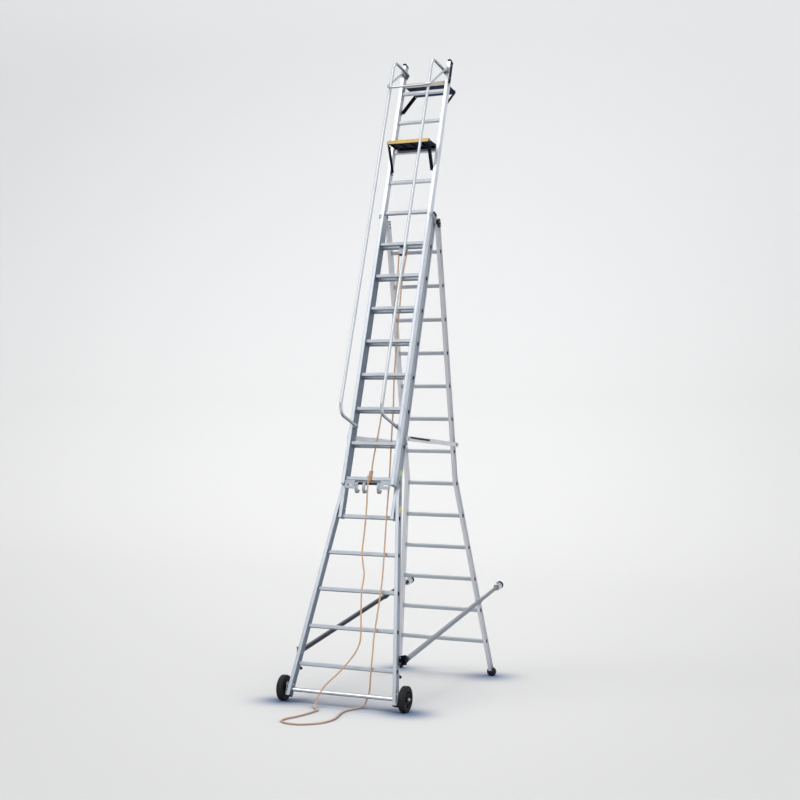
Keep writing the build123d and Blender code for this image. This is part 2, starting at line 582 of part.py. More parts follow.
# ------------------------------------------------------------------- stays
def stay():
    """Right stay: an upright channel in front, riveted to a bar at the rear."""
    hook_y, hook_z = layout_from_base(0, STAY_HOOK_S)
    pivot_y, pivot_z = REAR_Y0 - stay_s * SIN_REAR, STAY_PIVOT_Z
    result = plate_yz([(hook_y - 26, hook_z - 17), (hook_y - 26, hook_z + 21),
                       (1190, hook_z + 21), (1190, hook_z - 15)], STAY_X0, STAY_X1)
    result -= block(STAY_X0 + 2.5, STAY_X1 - 2.5, hook_y + 40, 1200, hook_z - 12, hook_z + 40)
    bar = block(STAY_X0 + 2.8, STAY_X1 - 2.8, 1040, pivot_y + 60, hook_z - 11.5, pivot_z + 19)
    bar += block(STAY_X0, STAY_X1, pivot_y - 22, pivot_y + 60, pivot_z - 19, pivot_z + 19)
    result = result + bar
    for rivet_y in (1075, 1160):
        result += rod_x(3, STAY_X0 - .8, STAY_X1 + .8, rivet_y, hook_z + 3)
    result -= rod_x(STAY_PIN_R + RUN_CLEAR, 240, 280, pivot_y, pivot_z)
    # Hook mouth over the base pin, open downward and to the rear
    result -= rod_x(6.3, 240, 280, hook_y, hook_z)
    result -= plate_yz([(hook_y - 6.3, hook_z), (hook_y + 6.3, hook_z + 3),
                        (hook_y + 24, hook_z - 40), (hook_y + 2, hook_z - 40)], 240, 280)
    return result


right_stay = stay()
save("stay_right", right_stay, LAYOUT)
save("stay_left", right_stay.mirror(Plane.YZ), LAYOUT)

# ------------------------------------------------------------------ wheels
HUB_BORE = AXLE_R + RUN_CLEAR
HUB = [                  # radius, along the axle
    (HUB_BORE, -25), (22, -25), (22, -14), (62, -9), (64, -18), (68, -18),
    (68, 18), (64, 18), (62, 9), (22, 14), (22, 25), (HUB_BORE, 25),
]
TYRE = [                 # radius, along the axle
    (68, -19), (76, -23), (88, -24.5), (95, -22), (98.5, -16), (WHEEL_R, -7),
    (WHEEL_R, 7), (98.5, 16), (95, 22), (88, 24.5), (76, 23), (68, 19),
]
for side, name in ((1, "right"), (-1, "left")):
    place = Pos(side * WHEEL_X, WHEEL_Y, WHEEL_R) * Rot(0, 90, 0)
    save("wheel_hub_" + name, place * turned(HUB), LAYOUT)
    save("tyre_" + name, place * turned(TYRE), LAYOUT)

# -------------------------------------------------------------- outriggers
OUT_X, OUT_Y, OUT_Z = 452.0, 165.0, 376.0     # upright swivel pin
OUT_RISE = 10.7          # rise of the stowed tube towards the rear, degrees
SWIVEL_R = 6
CROSS_R = 5              # cross pin on which the tube tilts
CROSS_Y = OUT_Y + 34
BRACKET_BOLT_Y = 116


def swivel_rod(radius, height, dz=0):
    return Pos(OUT_X, OUT_Y, OUT_Z + dz) * Cylinder(radius, height)


leg_x = base_out(338)
wall_x = leg_x + .8
out_bracket = block(wall_x, leg_x + 4.8, 95, 152, OUT_Z - 34, OUT_Z + 34)
for z0, z1 in ((OUT_Z - 34, OUT_Z - 28), (OUT_Z + 28, OUT_Z + 34)):
    out_bracket += block(wall_x, OUT_X + 15, OUT_Y - 19, OUT_Y + 13, z0, z1)
out_bracket += block(wall_x, leg_x + 4.8, 140, OUT_Y + 13, OUT_Z - 34, OUT_Z + 34)
out_bracket -= swivel_rod(SWIVEL_R, 76)
swivel_pin = swivel_rod(SWIVEL_R, 76) + swivel_rod(10, 4, 36) + swivel_rod(10, 4, -36)
out_bracket -= stepped_rod(BRACKET_BOLT_Y, OUT_Z, (PIN_R, leg_x - 40, leg_x + 9),
                           (8, leg_x + 4.8, leg_x + 9))
save("outrigger_brackets", both(out_bracket) + both(swivel_pin), LAYOUT)

# Swivel block: turns on the upright pin, carries the tube's cross pin
swivel = block(OUT_X - 14, OUT_X + 14, OUT_Y - 12, OUT_Y + 12, OUT_Z - 27.5, OUT_Z + 27.5)
for x0, x1 in ((OUT_X - 14, OUT_X - 10), (OUT_X + 10, OUT_X + 14)):
    swivel += block(x0, x1, OUT_Y, OUT_Y + 44, OUT_Z - 18, OUT_Z + 18)
swivel -= swivel_rod(SWIVEL_R + RUN_CLEAR, 100)
swivel += rod_x(CROSS_R, OUT_X - 14, OUT_X + 14, CROSS_Y, OUT_Z)

# Telescopic tube, built along +Y from the cross pin
tube = rod_y(20, 30, 1790) - rod_y(17, 20, 1800)
tube += block(-9.5, 9.5, -12, 34, -13, 13)
tube += rod_y(17.5, 30, 44)
tube -= rod_x(CROSS_R + RUN_CLEAR, -20, 20, 0, 0)
tube += rod_y(23, 1770, 1810) - rod_y(17, 1760, 1820)
slider = rod_y(16.6, 1080, 2330) - rod_y(14, 1070, 2320)
socket = rod_y(23, 2330, 2386) - rod_y(17, 2290, 2300)
rubber = rod_y(25, 2386, 2412) + rod_y(21, 2412, 2420)

TUBE_PLACE = Pos(OUT_X, CROSS_Y, OUT_Z) * Rot(OUT_RISE, 0, 0)
OUTRIGGER = [
    ("swivel", swivel),
    ("tube", TUBE_PLACE * tube),
    ("slider", TUBE_PLACE * (slider + socket)),
    ("foot", TUBE_PLACE * rubber),
]
for name, piece in OUTRIGGER:
    save("outrigger_" + name + "_right", piece, LAYOUT)
    save("outrigger_" + name + "_left", piece.mirror(Plane.YZ), LAYOUT)

# -------------------------------------------------------------------- rope
ROPE_R = 6.0
ROPE_TURN_R = 38.0       # rope centre line around the sheave


def cut_corners(points, rounds):
    """Corner cutting keeps the rope free of sharp turns."""
    for _ in range(rounds):
        result = [points[0]]
        for p, q in zip(points, points[1:]):
            result.append(tuple(.75 * a + .25 * b for a, b in zip(p, q)))
            result.append(tuple(.25 * a + .75 * b for a, b in zip(p, q)))
        result.append(points[-1])
        points = result
    return points


def rope(points, frenet=False):
    return sweep_along(Spline(*points), Circle(ROPE_R), frenet)


def ahead(x, s, distance):
    """Layout point at station s, at a distance in front of the base plane."""
    return (x, *layout_from_base(-distance, s))


LIFT = [                 # x, station; all in the plane of the sheave
    (-ROPE_TURN_R, PULLEY_S - 1), (-21, 3650), (4, 3100), (13, 2600),
    (12, 2300), (9, 2100), (6, 1850), (6, 1825),
]
save("rope_lift_strand", rope([ahead(x, s, PULLEY_AHEAD) for x, s in LIFT]), LAYOUT)

# Knot around the bottom fly rung
knot_s = PITCH * FLY_FIRST_RUNG
knot_y, knot_z = RUNG_D / 2 + 11, RUNG_H / 2 + 11
knot = block(-6, 18, FLY_Y - knot_y, FLY_Y + knot_y, knot_s - knot_z, knot_s + knot_z)
knot = fillet(knot.edges().filter_by(Axis.X), 9)
knot -= rung_cutter(30).moved(Location((0, FLY_Y, knot_s)))
save("rope_knot", knot, BASE)

FLOOR_JOINT = (-79.0, -254.0, 6.5)      # where the tail meets the floor loop
HAUL_FOOT = (180.0, 68.0, 46.0)         # where the haul meets the floor loop

TAIL = [                 # x, station, distance in front of the base plane
    (6, 1773, 96), (9, 1720, 94), (24, 1465, 80), (32, 1197, 80), (70, 1014, 80),
    (80, 895, 80), (122, 507, 80), (99, 421, 80), (23, 296, 80), (-73, 186, 82),
    (-132, 111, 86), (-160, 60, 100),
]
tail = [ahead(*row) for row in TAIL] + [(-150, -135, 14), (-110, -190, 7), FLOOR_JOINT]
save("rope_tail", rope(tail), LAYOUT)

HAUL_UPPER = [           # x, station, distance in front of the base plane
    (ROPE_TURN_R, PULLEY_S, PULLEY_AHEAD), (26, 3650, 28), (48, 3100, 22), (80, 2668, 22),
    (108, 2432, 22), (126, 2163, 22), (156, 1833, 25), (184, 1480, 31),
    (203, 1212, 34), (216, 960, 36), (220, 700, 38), (215, 519, 38),
]
HAUL_LOWER = [           # same columns, carrying on from the last upper point
    HAUL_UPPER[-1], (220, 400, 32), (220, 300, 24), (214, 200, -8),
    (204, 130, -38), (194, 90, -44),
]
FLOOR_LOOP = [           # x, y, z in layout
    HAUL_FOOT, (172, 58, 18), (158, 30, 6.6), (140, -20, 6.5), (118, -80, 6.5),
    (112, -160, 6.5), (125, -280, 6.5), (165, -430, 6.5), (185, -570, 6.5),
    (160, -730, 6.5), (60, -845, 6.5), (-30, -850, 6.5), (-100, -800, 6.5),
    (-121, -709, 6.5), (-98, -600, 6.5), (-85, -500, 6.5), (-78, -380, 6.5), FLOOR_JOINT,
]
over_sheave = ThreePointArc(ahead(-ROPE_TURN_R, PULLEY_S, PULLEY_AHEAD),
                            ahead(0, PULLEY_S + ROPE_TURN_R, PULLEY_AHEAD),
                            ahead(ROPE_TURN_R, PULLEY_S, PULLEY_AHEAD))
save("hauling_rope", [
    rope([ahead(*row) for row in HAUL_UPPER], frenet=True),
    rope([ahead(*row) for row in HAUL_LOWER] + [HAUL_FOOT]),
    rope(cut_corners(FLOOR_LOOP, 3)),
    sweep_along(over_sheave, Circle(ROPE_R)),
], LAYOUT)
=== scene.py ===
import math
from typing import NamedTuple

import bmesh
import bpy
import numpy as np
from mathutils import Matrix, Vector

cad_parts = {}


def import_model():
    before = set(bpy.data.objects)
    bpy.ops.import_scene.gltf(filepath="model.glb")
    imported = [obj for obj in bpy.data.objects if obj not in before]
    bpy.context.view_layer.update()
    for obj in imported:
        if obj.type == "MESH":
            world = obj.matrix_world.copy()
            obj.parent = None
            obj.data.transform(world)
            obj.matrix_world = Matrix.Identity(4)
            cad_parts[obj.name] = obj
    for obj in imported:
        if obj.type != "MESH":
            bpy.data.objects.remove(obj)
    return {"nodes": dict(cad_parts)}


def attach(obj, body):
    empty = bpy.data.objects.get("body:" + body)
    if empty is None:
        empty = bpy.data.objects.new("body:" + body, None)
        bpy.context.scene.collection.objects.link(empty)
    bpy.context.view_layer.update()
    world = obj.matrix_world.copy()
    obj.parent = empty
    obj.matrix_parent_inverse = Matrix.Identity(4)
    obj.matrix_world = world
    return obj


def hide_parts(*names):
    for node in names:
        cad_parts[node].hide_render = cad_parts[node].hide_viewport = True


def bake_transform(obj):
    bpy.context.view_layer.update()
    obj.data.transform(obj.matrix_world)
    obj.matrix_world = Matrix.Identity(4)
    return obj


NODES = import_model()["nodes"]
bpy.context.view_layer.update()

# ------------------------------------------------------------- driving dimensions
Y_SHIFT = 0.8635                    # taken from a y measured from the base's foot
BASE_LEAN = math.radians(15.08)
PROP_LEAN = math.radians(16.57)
BASE_SIN, BASE_COS = math.sin(BASE_LEAN), math.cos(BASE_LEAN)
PROP_SIN, PROP_COS = math.sin(PROP_LEAN), math.cos(PROP_LEAN)
BASE_Z = 0.0057                     # origin of the base section's own frame
PROP_Y, PROP_Z = 2.3555, 0.0313     # origin of the rear prop's own frame
RUNG_PITCH = 0.3
RUNG_INSET = 0.029                  # outer half width to rung end, straight stiles
SPLAYED_RUNG_INSET = 0.0302         # the same on splayed stiles
STILE_FACE = 0.0325                 # middle of a base or prop stile to its flange face
FLY_OUT = 0.0655                    # middle of the fly, out from the middle of the base
AXLE_Y, AXLE_Z = 0.048 - Y_SHIFT, 0.100
OUTRIGGER_Z = 0.376
PLATE_NUT_X = 0.1951                # nuts beside the platform and the tray
BOTH = (1, -1)                      # right and left, as the sign of x
SIDES = ((1, "r"), (-1, "l"))


def base_point(x, along, out=0.0):
    """A place on the base or fly: across, up the ladder, out of its front."""
    return Vector((x, along * BASE_SIN - out * BASE_COS - Y_SHIFT,
                   BASE_Z + along * BASE_COS + out * BASE_SIN))


def prop_point(x, along, out=0.0):
    """A place on the rear prop: across, up the prop, out of its rear face."""
    return Vector((x, PROP_Y - Y_SHIFT - along * PROP_SIN + out * PROP_COS,
                   PROP_Z + along * PROP_COS + out * PROP_SIN))


def ground_point(x, y, z):
    """An upright place, with y measured from the base's foot."""
    return Vector((x, y - Y_SHIFT, z))


# The same two frames as matrices, which take (across, out, along).
BASE_FRAME = Matrix(((1, 0, 0, 0), (0, -BASE_COS, BASE_SIN, -Y_SHIFT),
                     (0, BASE_SIN, BASE_COS, BASE_Z), (0, 0, 0, 1)))
PROP_FRAME = Matrix(((1, 0, 0, 0), (0, PROP_COS, -PROP_SIN, PROP_Y - Y_SHIFT),
                     (0, PROP_SIN, PROP_COS, PROP_Z), (0, 0, 0, 1)))
BASE_FRONT = base_point(0, 0, 1) - base_point(0, 0, 0)
BASE_REAR = base_point(0, 0, -1) - base_point(0, 0, 0)


class Section(NamedTuple):
    """A pair of stiles: straight above, splayed outwards below."""
    body: str
    frame: Matrix
    half: float             # outer half width of the straight part
    bend: float = 0.0       # station where the splay reaches that half width
    splay: float = 0.0      # gain in half width per metre down
    splay_top: float = 0.0  # rungs below this station have splayed stiles

    def splayed_half(self, along):
        return self.half + (self.bend - along) * self.splay

    def rung_half(self, along):
        if along < self.splay_top:
            return self.splayed_half(along) - SPLAYED_RUNG_INSET
        return self.half - RUNG_INSET


BASE = Section("base", BASE_FRAME, half=0.2418, bend=1.854, splay=0.12267, splay_top=1.6)
FLY = Section("fly", BASE_FRAME, half=0.2295)
PROP = Section("rear_prop", PROP_FRAME, half=0.2463, bend=1.836, splay=0.12433,
               splay_top=1.836)


# ------------------------------------------------------------------ shader tools
def feed(tree, node, inputs):
    """Gives each named or numbered input a plain value or another node's output."""
    for key, value in inputs.items():
        if isinstance(value, bpy.types.NodeSocket):
            tree.links.new(value, node.inputs[key])
        else:
            node.inputs[key].default_value = value


def add_node(tree, kind, inputs=None, **settings):
    node = tree.nodes.new("ShaderNode" + kind)
    for key, value in settings.items():
        setattr(node, key, value)
    feed(tree, node, inputs or {})
    return node


def colour_ramp(tree, factor, stops):
    """stops: (position, colour) pairs."""
    ramp = add_node(tree, "ValToRGB", {0: factor})
    elements = ramp.color_ramp.elements
    while len(elements) < len(stops):
        elements.new(0.5)
    for element, (position, colour) in zip(elements, stops):
        element.position = position
        element.color = (*colour, 1)
    return ramp.outputs[0]


def scaled(colour, factor, lift=0.0):
    return tuple(min(1, c * factor + lift) for c in colour)


class Surface:
    """A material being built: a Principled shader and the nodes that feed it."""

    def __init__(self, name):
        self.material = bpy.data.materials.new(name)
        self.material.use_nodes = True
        self.tree = self.material.node_tree
        for node in list(self.tree.nodes):
            self.tree.nodes.remove(node)
        output = self.add("OutputMaterial")
        self.shader = self.add("BsdfPrincipled")
        self.tree.links.new(self.shader.outputs[0], output.inputs[0])

    def add(self, kind, inputs=None, **settings):
        return add_node(self.tree, kind, inputs, **settings)

    def set(self, inputs):
        feed(self.tree, self.shader, inputs)

    def coords(self, stretch=(1, 1, 1), rotation=(0, 0, 0)):
        place = self.add("TexCoord").outputs["Object"]
        return self.add("Mapping", {"Scale": stretch, "Rotation": rotation,
                                    "Vector": place}).outputs[0]

    def noise(self, scale, detail=4.0, rough=0.6, stretch=(1, 1, 1), vector=None):
        if vector is None:
            vector = self.coords(stretch)
        return self.add("TexNoise", {"Scale": scale, "Detail": detail, "Roughness": rough,
                                     "Vector": vector}).outputs["Fac"]

    def cells(self, scale, vector):
        """Distance from the middle of each Voronoi cell."""
        return self.add("TexVoronoi", {"Scale": scale, "Vector": vector}).outputs["Distance"]

    def remap(self, value, low, high):
        """Stretches 0..1 to low..high."""
        return self.add("MapRange", {"To Min": low, "To Max": high,
                                     "Value": value}).outputs[0]

    def smooth(self, value, start, end):
        """Smooth step from 0 at start to 1 at end."""
        return self.add("MapRange", {"From Min": start, "From Max": end, "Value": value},
                        interpolation_type="SMOOTHSTEP").outputs[0]

    def maths(self, operation, first, second):
        return self.add("Math", {0: first, 1: second}, operation=operation).outputs[0]

    def mix(self, factor, under, over, amount=None):
        """Lays over on under by factor, which amount scales down where it is given."""
        if amount is not None:
            factor = self.maths("MULTIPLY", factor, amount)
        under, over = ((*c, 1) if isinstance(c, tuple) else c for c in (under, over))
        return self.add("Mix", {0: factor, 6: under, 7: over}, data_type="RGBA").outputs[2]

    def axis(self, vector, name):
        return self.add("SeparateXYZ", {0: vector}).outputs[name]

    def bump(self, height, strength, distance, normal=None):
        inputs = {"Strength": strength, "Distance": distance, "Height": height}
        if normal is not None:
            inputs["Normal"] = normal
        self.set({"Normal": self.add("Bump", inputs).outputs[0]})

    def edge_wear(self, radius):
        """Wear on corners, where a bevelled normal leaves the true one; and that normal."""
        bevel = self.add("Bevel", {"Radius": radius}, samples=4).outputs[0]
        normal = self.add("NewGeometry").outputs["Normal"]
        match = self.add("VectorMath", {0: bevel, 1: normal},
                         operation="DOT_PRODUCT").outputs["Value"]
        wear = self.add("MapRange", {"From Min": 0.995, "From Max": 0.80, "Value": match})
        return wear.outputs[0], bevel


# ------------------------------------------------------------------ materials
def aluminium(name, stretch, base=(0.50, 0.535, 0.58), rough=0.34, metal=0.85, relief=1.0,
              under=0.8, top=0.0, painted_shade_colour=(0.085, 0.115, 0.165), painted_top_glare=None):
    """stretch draws out the grain, relief scales its bump; under and top paint shade on faces
    that look down and a highlight on faces that look up; painted_top_glare (z start, z end,
    amount) is a painted highlight, paler metal towards the top."""
    surf = Surface(name)
    grain = surf.noise(scale=1.0, detail=6.0, rough=0.7, stretch=stretch)
    blotch = surf.noise(scale=9.0, detail=5.0)
    grime = surf.noise(scale=2.1, detail=6.0, rough=0.65)
    wear, bevel = surf.edge_wear(radius=0.0022)
    colour = surf.mix(surf.remap(grain, low=0.15, high=0.85),
                      scaled(base, factor=0.84), scaled(base, factor=1.10))
    colour = surf.mix(surf.smooth(grime, start=0.52, end=0.74), colour,
                      over=(0.30, 0.335, 0.39), amount=0.22)
    # painted shade on faces that look down, painted highlight on the ones that look up
    facing = surf.axis(surf.add("NewGeometry").outputs["Normal"], "Z")
    low = surf.smooth(surf.maths("MULTIPLY", facing, -1.0), start=0.32, end=0.80)
    colour = surf.mix(low, colour, over=painted_shade_colour, amount=under)
    if top:
        colour = surf.mix(surf.smooth(facing, start=0.55, end=0.9), colour,
                          over=(0.74, 0.76, 0.80), amount=top)
    # painted highlight: the metal pales towards the top, where light washes it out
    if painted_top_glare:
        start, end, amount = painted_top_glare
        height = surf.axis(surf.add("TexCoord").outputs["Object"], "Z")
        upper = surf.smooth(height, start, end)
        pale = surf.mix(surf.remap(grain, low=0.15, high=0.85),
                        (0.84, 0.86, 0.90), (0.92, 0.93, 0.96))
        colour = surf.mix(upper, colour, over=pale, amount=amount)
    colour = surf.mix(wear, colour, over=(0.88, 0.90, 0.93), amount=0.6)
    uneven = surf.maths("ADD", surf.remap(grain, low=-0.07, high=0.09),
                        surf.maths("MULTIPLY", blotch, 0.14))
    surf.set({"Base Color": colour, "Metallic": metal,
              "Roughness": surf.maths("ADD", uneven, rough), "Anisotropic": 0.35})
    surf.bump(grain, strength=0.10 * relief, distance=0.0006, normal=bevel)
    return surf.material


def plastic(name, base, rough, grain, edge, spec):
    """grain is the scale of the fine bump, edge the amount of wear on corners."""
    surf = Surface(name)
    fine = surf.noise(scale=grain, detail=3.0, rough=0.5)
    blotch = surf.noise(scale=25.0)
    dust = surf.noise(scale=6.0, detail=6.0, rough=0.7)
    wear, bevel = surf.edge_wear(radius=0.003)
    colour = surf.mix(surf.remap(blotch, low=0.2, high=0.8),
                      scaled(base, factor=0.75), scaled(base, factor=1.25))
    colour = surf.mix(surf.smooth(dust, start=0.5, end=0.8), colour,
                      over=(0.22, 0.26, 0.36), amount=0.035)
    colour = surf.mix(wear, colour, over=scaled(base, factor=2.4, lift=0.05), amount=edge)
    roughness = surf.maths("ADD", surf.remap(blotch, low=-0.08, high=0.1), rough)
    surf.set({"Base Color": colour, "Roughness": roughness, "Specular IOR Level": spec})
    surf.bump(fine, strength=0.18, distance=0.0004, normal=bevel)
    return surf.material


def rubber(name, base):
    surf = Surface(name)
    fine = surf.noise(scale=420.0, detail=6.0, rough=0.7)
    blotch = surf.noise(scale=14.0, detail=5.0, rough=0.65)
    wear, bevel = surf.edge_wear(radius=0.004)
    colour = surf.mix(surf.remap(blotch, low=0.1, high=0.9),
                      base, scaled(base, factor=2.2, lift=0.003))
    colour = surf.mix(wear, colour, over=(0.05, 0.05, 0.053), amount=0.35)
    roughness = surf.maths("ADD", surf.remap(blotch, low=-0.1, high=0.12), 0.66)
    surf.set({"Base Color": colour, "Roughness": roughness, "Specular IOR Level": 0.35})
    surf.bump(fine, strength=0.45, distance=0.0006, normal=bevel)
    return surf.material


def rope_fibre():
    surf = Surface("rope_fibre")
    place = surf.coords()
    fibre = surf.noise(scale=1.0, detail=5.0, rough=0.75, vector=surf.coords(
        stretch=(900, 900, 260), rotation=(0.4, 0.2, 0.0)))
    blotch = surf.noise(scale=30.0, detail=5.0, vector=place)
    broad = surf.noise(scale=3.0, detail=3.0, vector=place)
    colour = colour_ramp(surf.tree, fibre, [
        (0.2, (0.30, 0.17, 0.10)), (0.48, (0.60, 0.40, 0.26)), (0.8, (0.80, 0.62, 0.45))])
    colour = surf.mix(surf.remap(blotch, low=0.0, high=0.5), colour, over=(0.70, 0.44, 0.26))
    colour = surf.mix(surf.smooth(broad, start=0.5, end=0.7), colour,
                      over=(0.45, 0.30, 0.22), amount=0.25)
    surf.set({"Base Color": colour, "Roughness": 0.82, "Sheen Weight": 0.4,
              "Sheen Roughness": 0.5, "Specular IOR Level": 0.25})
    surf.bump(fibre, strength=0.5, distance=0.0006)
    return surf.material


def zinc_steel():
    surf = Surface("zinc_steel")
    place = surf.coords()
    spangle = surf.cells(scale=260.0, vector=place)
    mottle = surf.noise(scale=60.0, detail=5.0, vector=place)
    _, bevel = wear_and_bevel = surf.edge_wear(radius=0.0015)
    colour = surf.mix(surf.remap(mottle, low=0.1, high=0.9),
                      (0.40, 0.42, 0.46), (0.68, 0.70, 0.72))
    colour = surf.mix(spangle, colour, over=(0.55, 0.53, 0.46), amount=0.4)
    roughness = surf.maths("ADD", surf.remap(mottle, low=-0.08, high=0.1), 0.3)
    surf.set({"Base Color": colour, "Metallic": 0.95, "Roughness": roughness})
    surf.bump(mottle, strength=0.12, distance=0.0004, normal=bevel)
    return surf.material


def edge_strip():
    """Yellow strip with worn corners and dull patches."""
    surf = Surface("edge_strip")
    mottle = surf.noise(scale=40.0, detail=5.0, rough=0.65)
    fine = surf.noise(scale=1.0, detail=3.0, stretch=(700, 700, 700))
    wear, bevel = surf.edge_wear(radius=0.003)
    colour = surf.mix(surf.remap(mottle, low=0.0, high=0.9),
                      (0.86, 0.56, 0.13), (0.93, 0.70, 0.30))
    colour = surf.mix(wear, colour, over=(0.95, 0.86, 0.62), amount=0.5)
    colour = surf.mix(surf.smooth(mottle, start=0.58, end=0.7), colour,
                      over=(0.45, 0.36, 0.25), amount=0.3)
    surf.set({"Base Color": colour, "Roughness": 0.5})
    surf.bump(fine, strength=0.2, distance=0.0004, normal=bevel)
    return surf.material


def marker_film():
    """Yellow film that turns green with height."""
    surf = Surface("marker_film")
    height = surf.axis(surf.add("TexCoord").outputs["Object"], "Z")
    mottle = surf.noise(scale=90.0)
    colour = surf.mix(surf.smooth(height, start=1.76, end=1.80),
                      (0.95, 0.84, 0.16), (0.66, 0.88, 0.30))
    colour = surf.mix(surf.remap(mottle, low=0.0, high=1.0), colour,
                      over=(0.92, 0.92, 0.78), amount=0.3)
    surf.set({"Base Color": colour, "Roughness": 0.35})
    surf.bump(mottle, strength=0.08, distance=0.0003)
    return surf.material


def deck_grip():
    surf = Surface("deck_grip")
    grit = surf.noise(scale=320.0, detail=5.0, rough=0.8)
    broad = surf.noise(scale=12.0, detail=5.0)
    pits = surf.cells(scale=500.0, vector=surf.coords())
    colour = surf.mix(surf.remap(grit, low=0.0, high=1.0),
                      (0.025, 0.028, 0.036), (0.10, 0.105, 0.12))
    colour = surf.mix(surf.smooth(broad, start=0.55, end=0.75), colour,
                      over=(0.20, 0.19, 0.18), amount=0.3)
    surf.set({"Base Color": colour, "Roughness": 0.85})
    surf.bump(surf.maths("ADD", grit, pits), strength=0.6, distance=0.0012)
    return surf.material


GRAIN_Z = (420, 420, 5)     # fine grain drawn out along z
GRAIN_X = (5, 420, 420)     # and along x
GRAIN_BOOM = (200, 14, 200)

ALU = aluminium("alu_extruded_long", GRAIN_Z)
ALU_CROSS = aluminium("alu_extruded_cross", GRAIN_X, base=(0.46, 0.50, 0.55))
# the fly, its rungs and the stile sides carry a painted highlight towards the top
ALU_FLY = aluminium("alu_extruded_fly", GRAIN_Z, base=(0.52, 0.56, 0.61), rough=0.36,
                    painted_top_glare=(3.85, 4.25, 0.8))
ALU_FLY_CROSS = aluminium("alu_fly_cross", GRAIN_X, base=(0.46, 0.50, 0.55),
                          painted_top_glare=(3.95, 4.25, 0.45))
# painted shade: a darker copy of the metal for the left stiles' inner walls
ALU_SHADED_INNER = aluminium("alu_inner_painted_shade", GRAIN_Z, base=(0.20, 0.245, 0.31), rough=0.38,
                      painted_top_glare=(3.6, 4.3, 0.75))
# painted light: paler, less metallic copies for the right stiles' faces behind the front flange,
# where the channel is in shade
ALU_LIT_SIDE = aluminium("alu_side_painted_light", GRAIN_Z, base=(0.86, 0.88, 0.92), rough=0.42,
                     metal=0.15, under=0.4, painted_top_glare=(3.85, 4.25, 0.5))
ALU_LIT_LEG = aluminium("alu_leg_side_painted_light", GRAIN_Z, base=(0.54, 0.58, 0.63), rough=0.42,
                    metal=0.4, under=0.4)
# the two booms are one metal: the left copy is darkened to near black as painted shade, and both
# carry a painted highlight on top
BOOM_RIGHT = aluminium("alu_outrigger_right", GRAIN_BOOM, base=(0.30, 0.33, 0.38),
                       rough=0.36, top=0.4)
BOOM_LEFT_SHADED = aluminium("alu_outrigger_left_painted_shade", GRAIN_BOOM, base=(0.030, 0.030, 0.052),
                      rough=0.34, top=0.22, painted_shade_colour=(0.008, 0.008, 0.016))
# painted light: a paler, less metallic copy that brightens the shaded inside of the rear stiles'
# channels
ALU_REAR_LIT = aluminium("alu_rear_painted_light", GRAIN_Z, base=(0.74, 0.745, 0.78), rough=0.45,
                     metal=0.3)
TUBE = aluminium("alu_drawn_tube", (300, 300, 8), base=(0.66, 0.69, 0.72), rough=0.26,
                 metal=0.9)
BEAM = aluminium("alu_bright_beam", (6, 300, 300), base=(0.74, 0.77, 0.80), rough=0.2,
                 metal=0.92)
CAST = aluminium("alu_cast", (60, 60, 60), base=(0.38, 0.41, 0.45), rough=0.42, metal=0.8,
                 relief=3.0)
PLASTIC = plastic("black_moulded", base=(0.002, 0.003, 0.012), rough=0.55, grain=700.0,
                  edge=0.08, spec=0.14)
HUB = plastic("hub_moulded", base=(0.006, 0.006, 0.009), rough=0.5, grain=500.0,
              edge=0.15, spec=0.25)
COAT = plastic("navy_black_coat", base=(0.002, 0.003, 0.013), rough=0.6, grain=380.0,
               edge=0.07, spec=0.12)
TRAY = plastic("tray_coat", base=(0.004, 0.019, 0.058), rough=0.6, grain=380.0,
               edge=0.10, spec=0.06)
BEIGE = plastic("tray_lip", base=(0.60, 0.55, 0.46), rough=0.5, grain=500.0,
                edge=0.1, spec=0.3)
RUBBER = rubber("foot_rubber", base=(0.006, 0.006, 0.008))
TYRE = rubber("tyre_rubber", base=(0.004, 0.004, 0.005))
ROPE = rope_fibre()
STEEL = zinc_steel()
YELLOW = edge_strip()
FILM = marker_film()
DECK = deck_grip()

# Material, and the CAD pieces that wear it
PIECES = (
    (ALU, "base_stiles base_legs"),
    (ALU_CROSS, "base_rungs rear_rungs"),
    (ALU_FLY, "fly_stiles"),
    (ALU_FLY_CROSS, "fly_rungs"),
    (ALU_REAR_LIT, "rear_stiles stay_right stay_left"),
    (BOOM_RIGHT, "outrigger_tube_right outrigger_slider_right"),
    (BOOM_LEFT_SHADED, "outrigger_tube_left outrigger_slider_left"),
    (TUBE, "handrails guard_hoop"),
    (BEAM, "axle_beam"),
    (CAST, "knee_splices axle_brackets top_guide_brackets pulley_bracket "
           "handrail_brackets latch_side_plates latch_hooks"),
    (PLASTIC, "base_rung_plugs base_end_caps leg_stubs fly_rung_plugs fly_end_caps "
              "fly_guide_blocks rear_rung_plugs rear_end_caps"),
    (HUB, "wheel_hub_right wheel_hub_left pulley_sheave"),
    (COAT, "outrigger_brackets latch_shaft platform_frame platform_struts tray_struts "
           "rear_hinge_plates rear_pivot_pins outrigger_swivel_right "
           "outrigger_swivel_left"),
    (TRAY, "tool_tray"),
    (RUBBER, "rear_feet outrigger_foot_right outrigger_foot_left"),
    (TYRE, "tyre_right tyre_left"),
    (ROPE, "hauling_rope rope_lift_strand rope_tail rope_knot"),
    (STEEL, "axle_pins stay_hook_pins panel_pins"),
    (YELLOW, "platform_front_edge"),
    (FILM, "marker_patches"),
    (DECK, "platform_deck"),
)
MATERIAL_OF = {name: material for material, names in PIECES for name in names.split()}


def smooth_shade(mesh, angle):
    mesh.shade_smooth()
    mesh.set_sharp_from_angle(angle=math.radians(angle))


for name, piece in NODES.items():
    piece.data.materials.clear()
    piece.data.materials.append(MATERIAL_OF[name])
    smooth_shade(piece.data, angle=32)


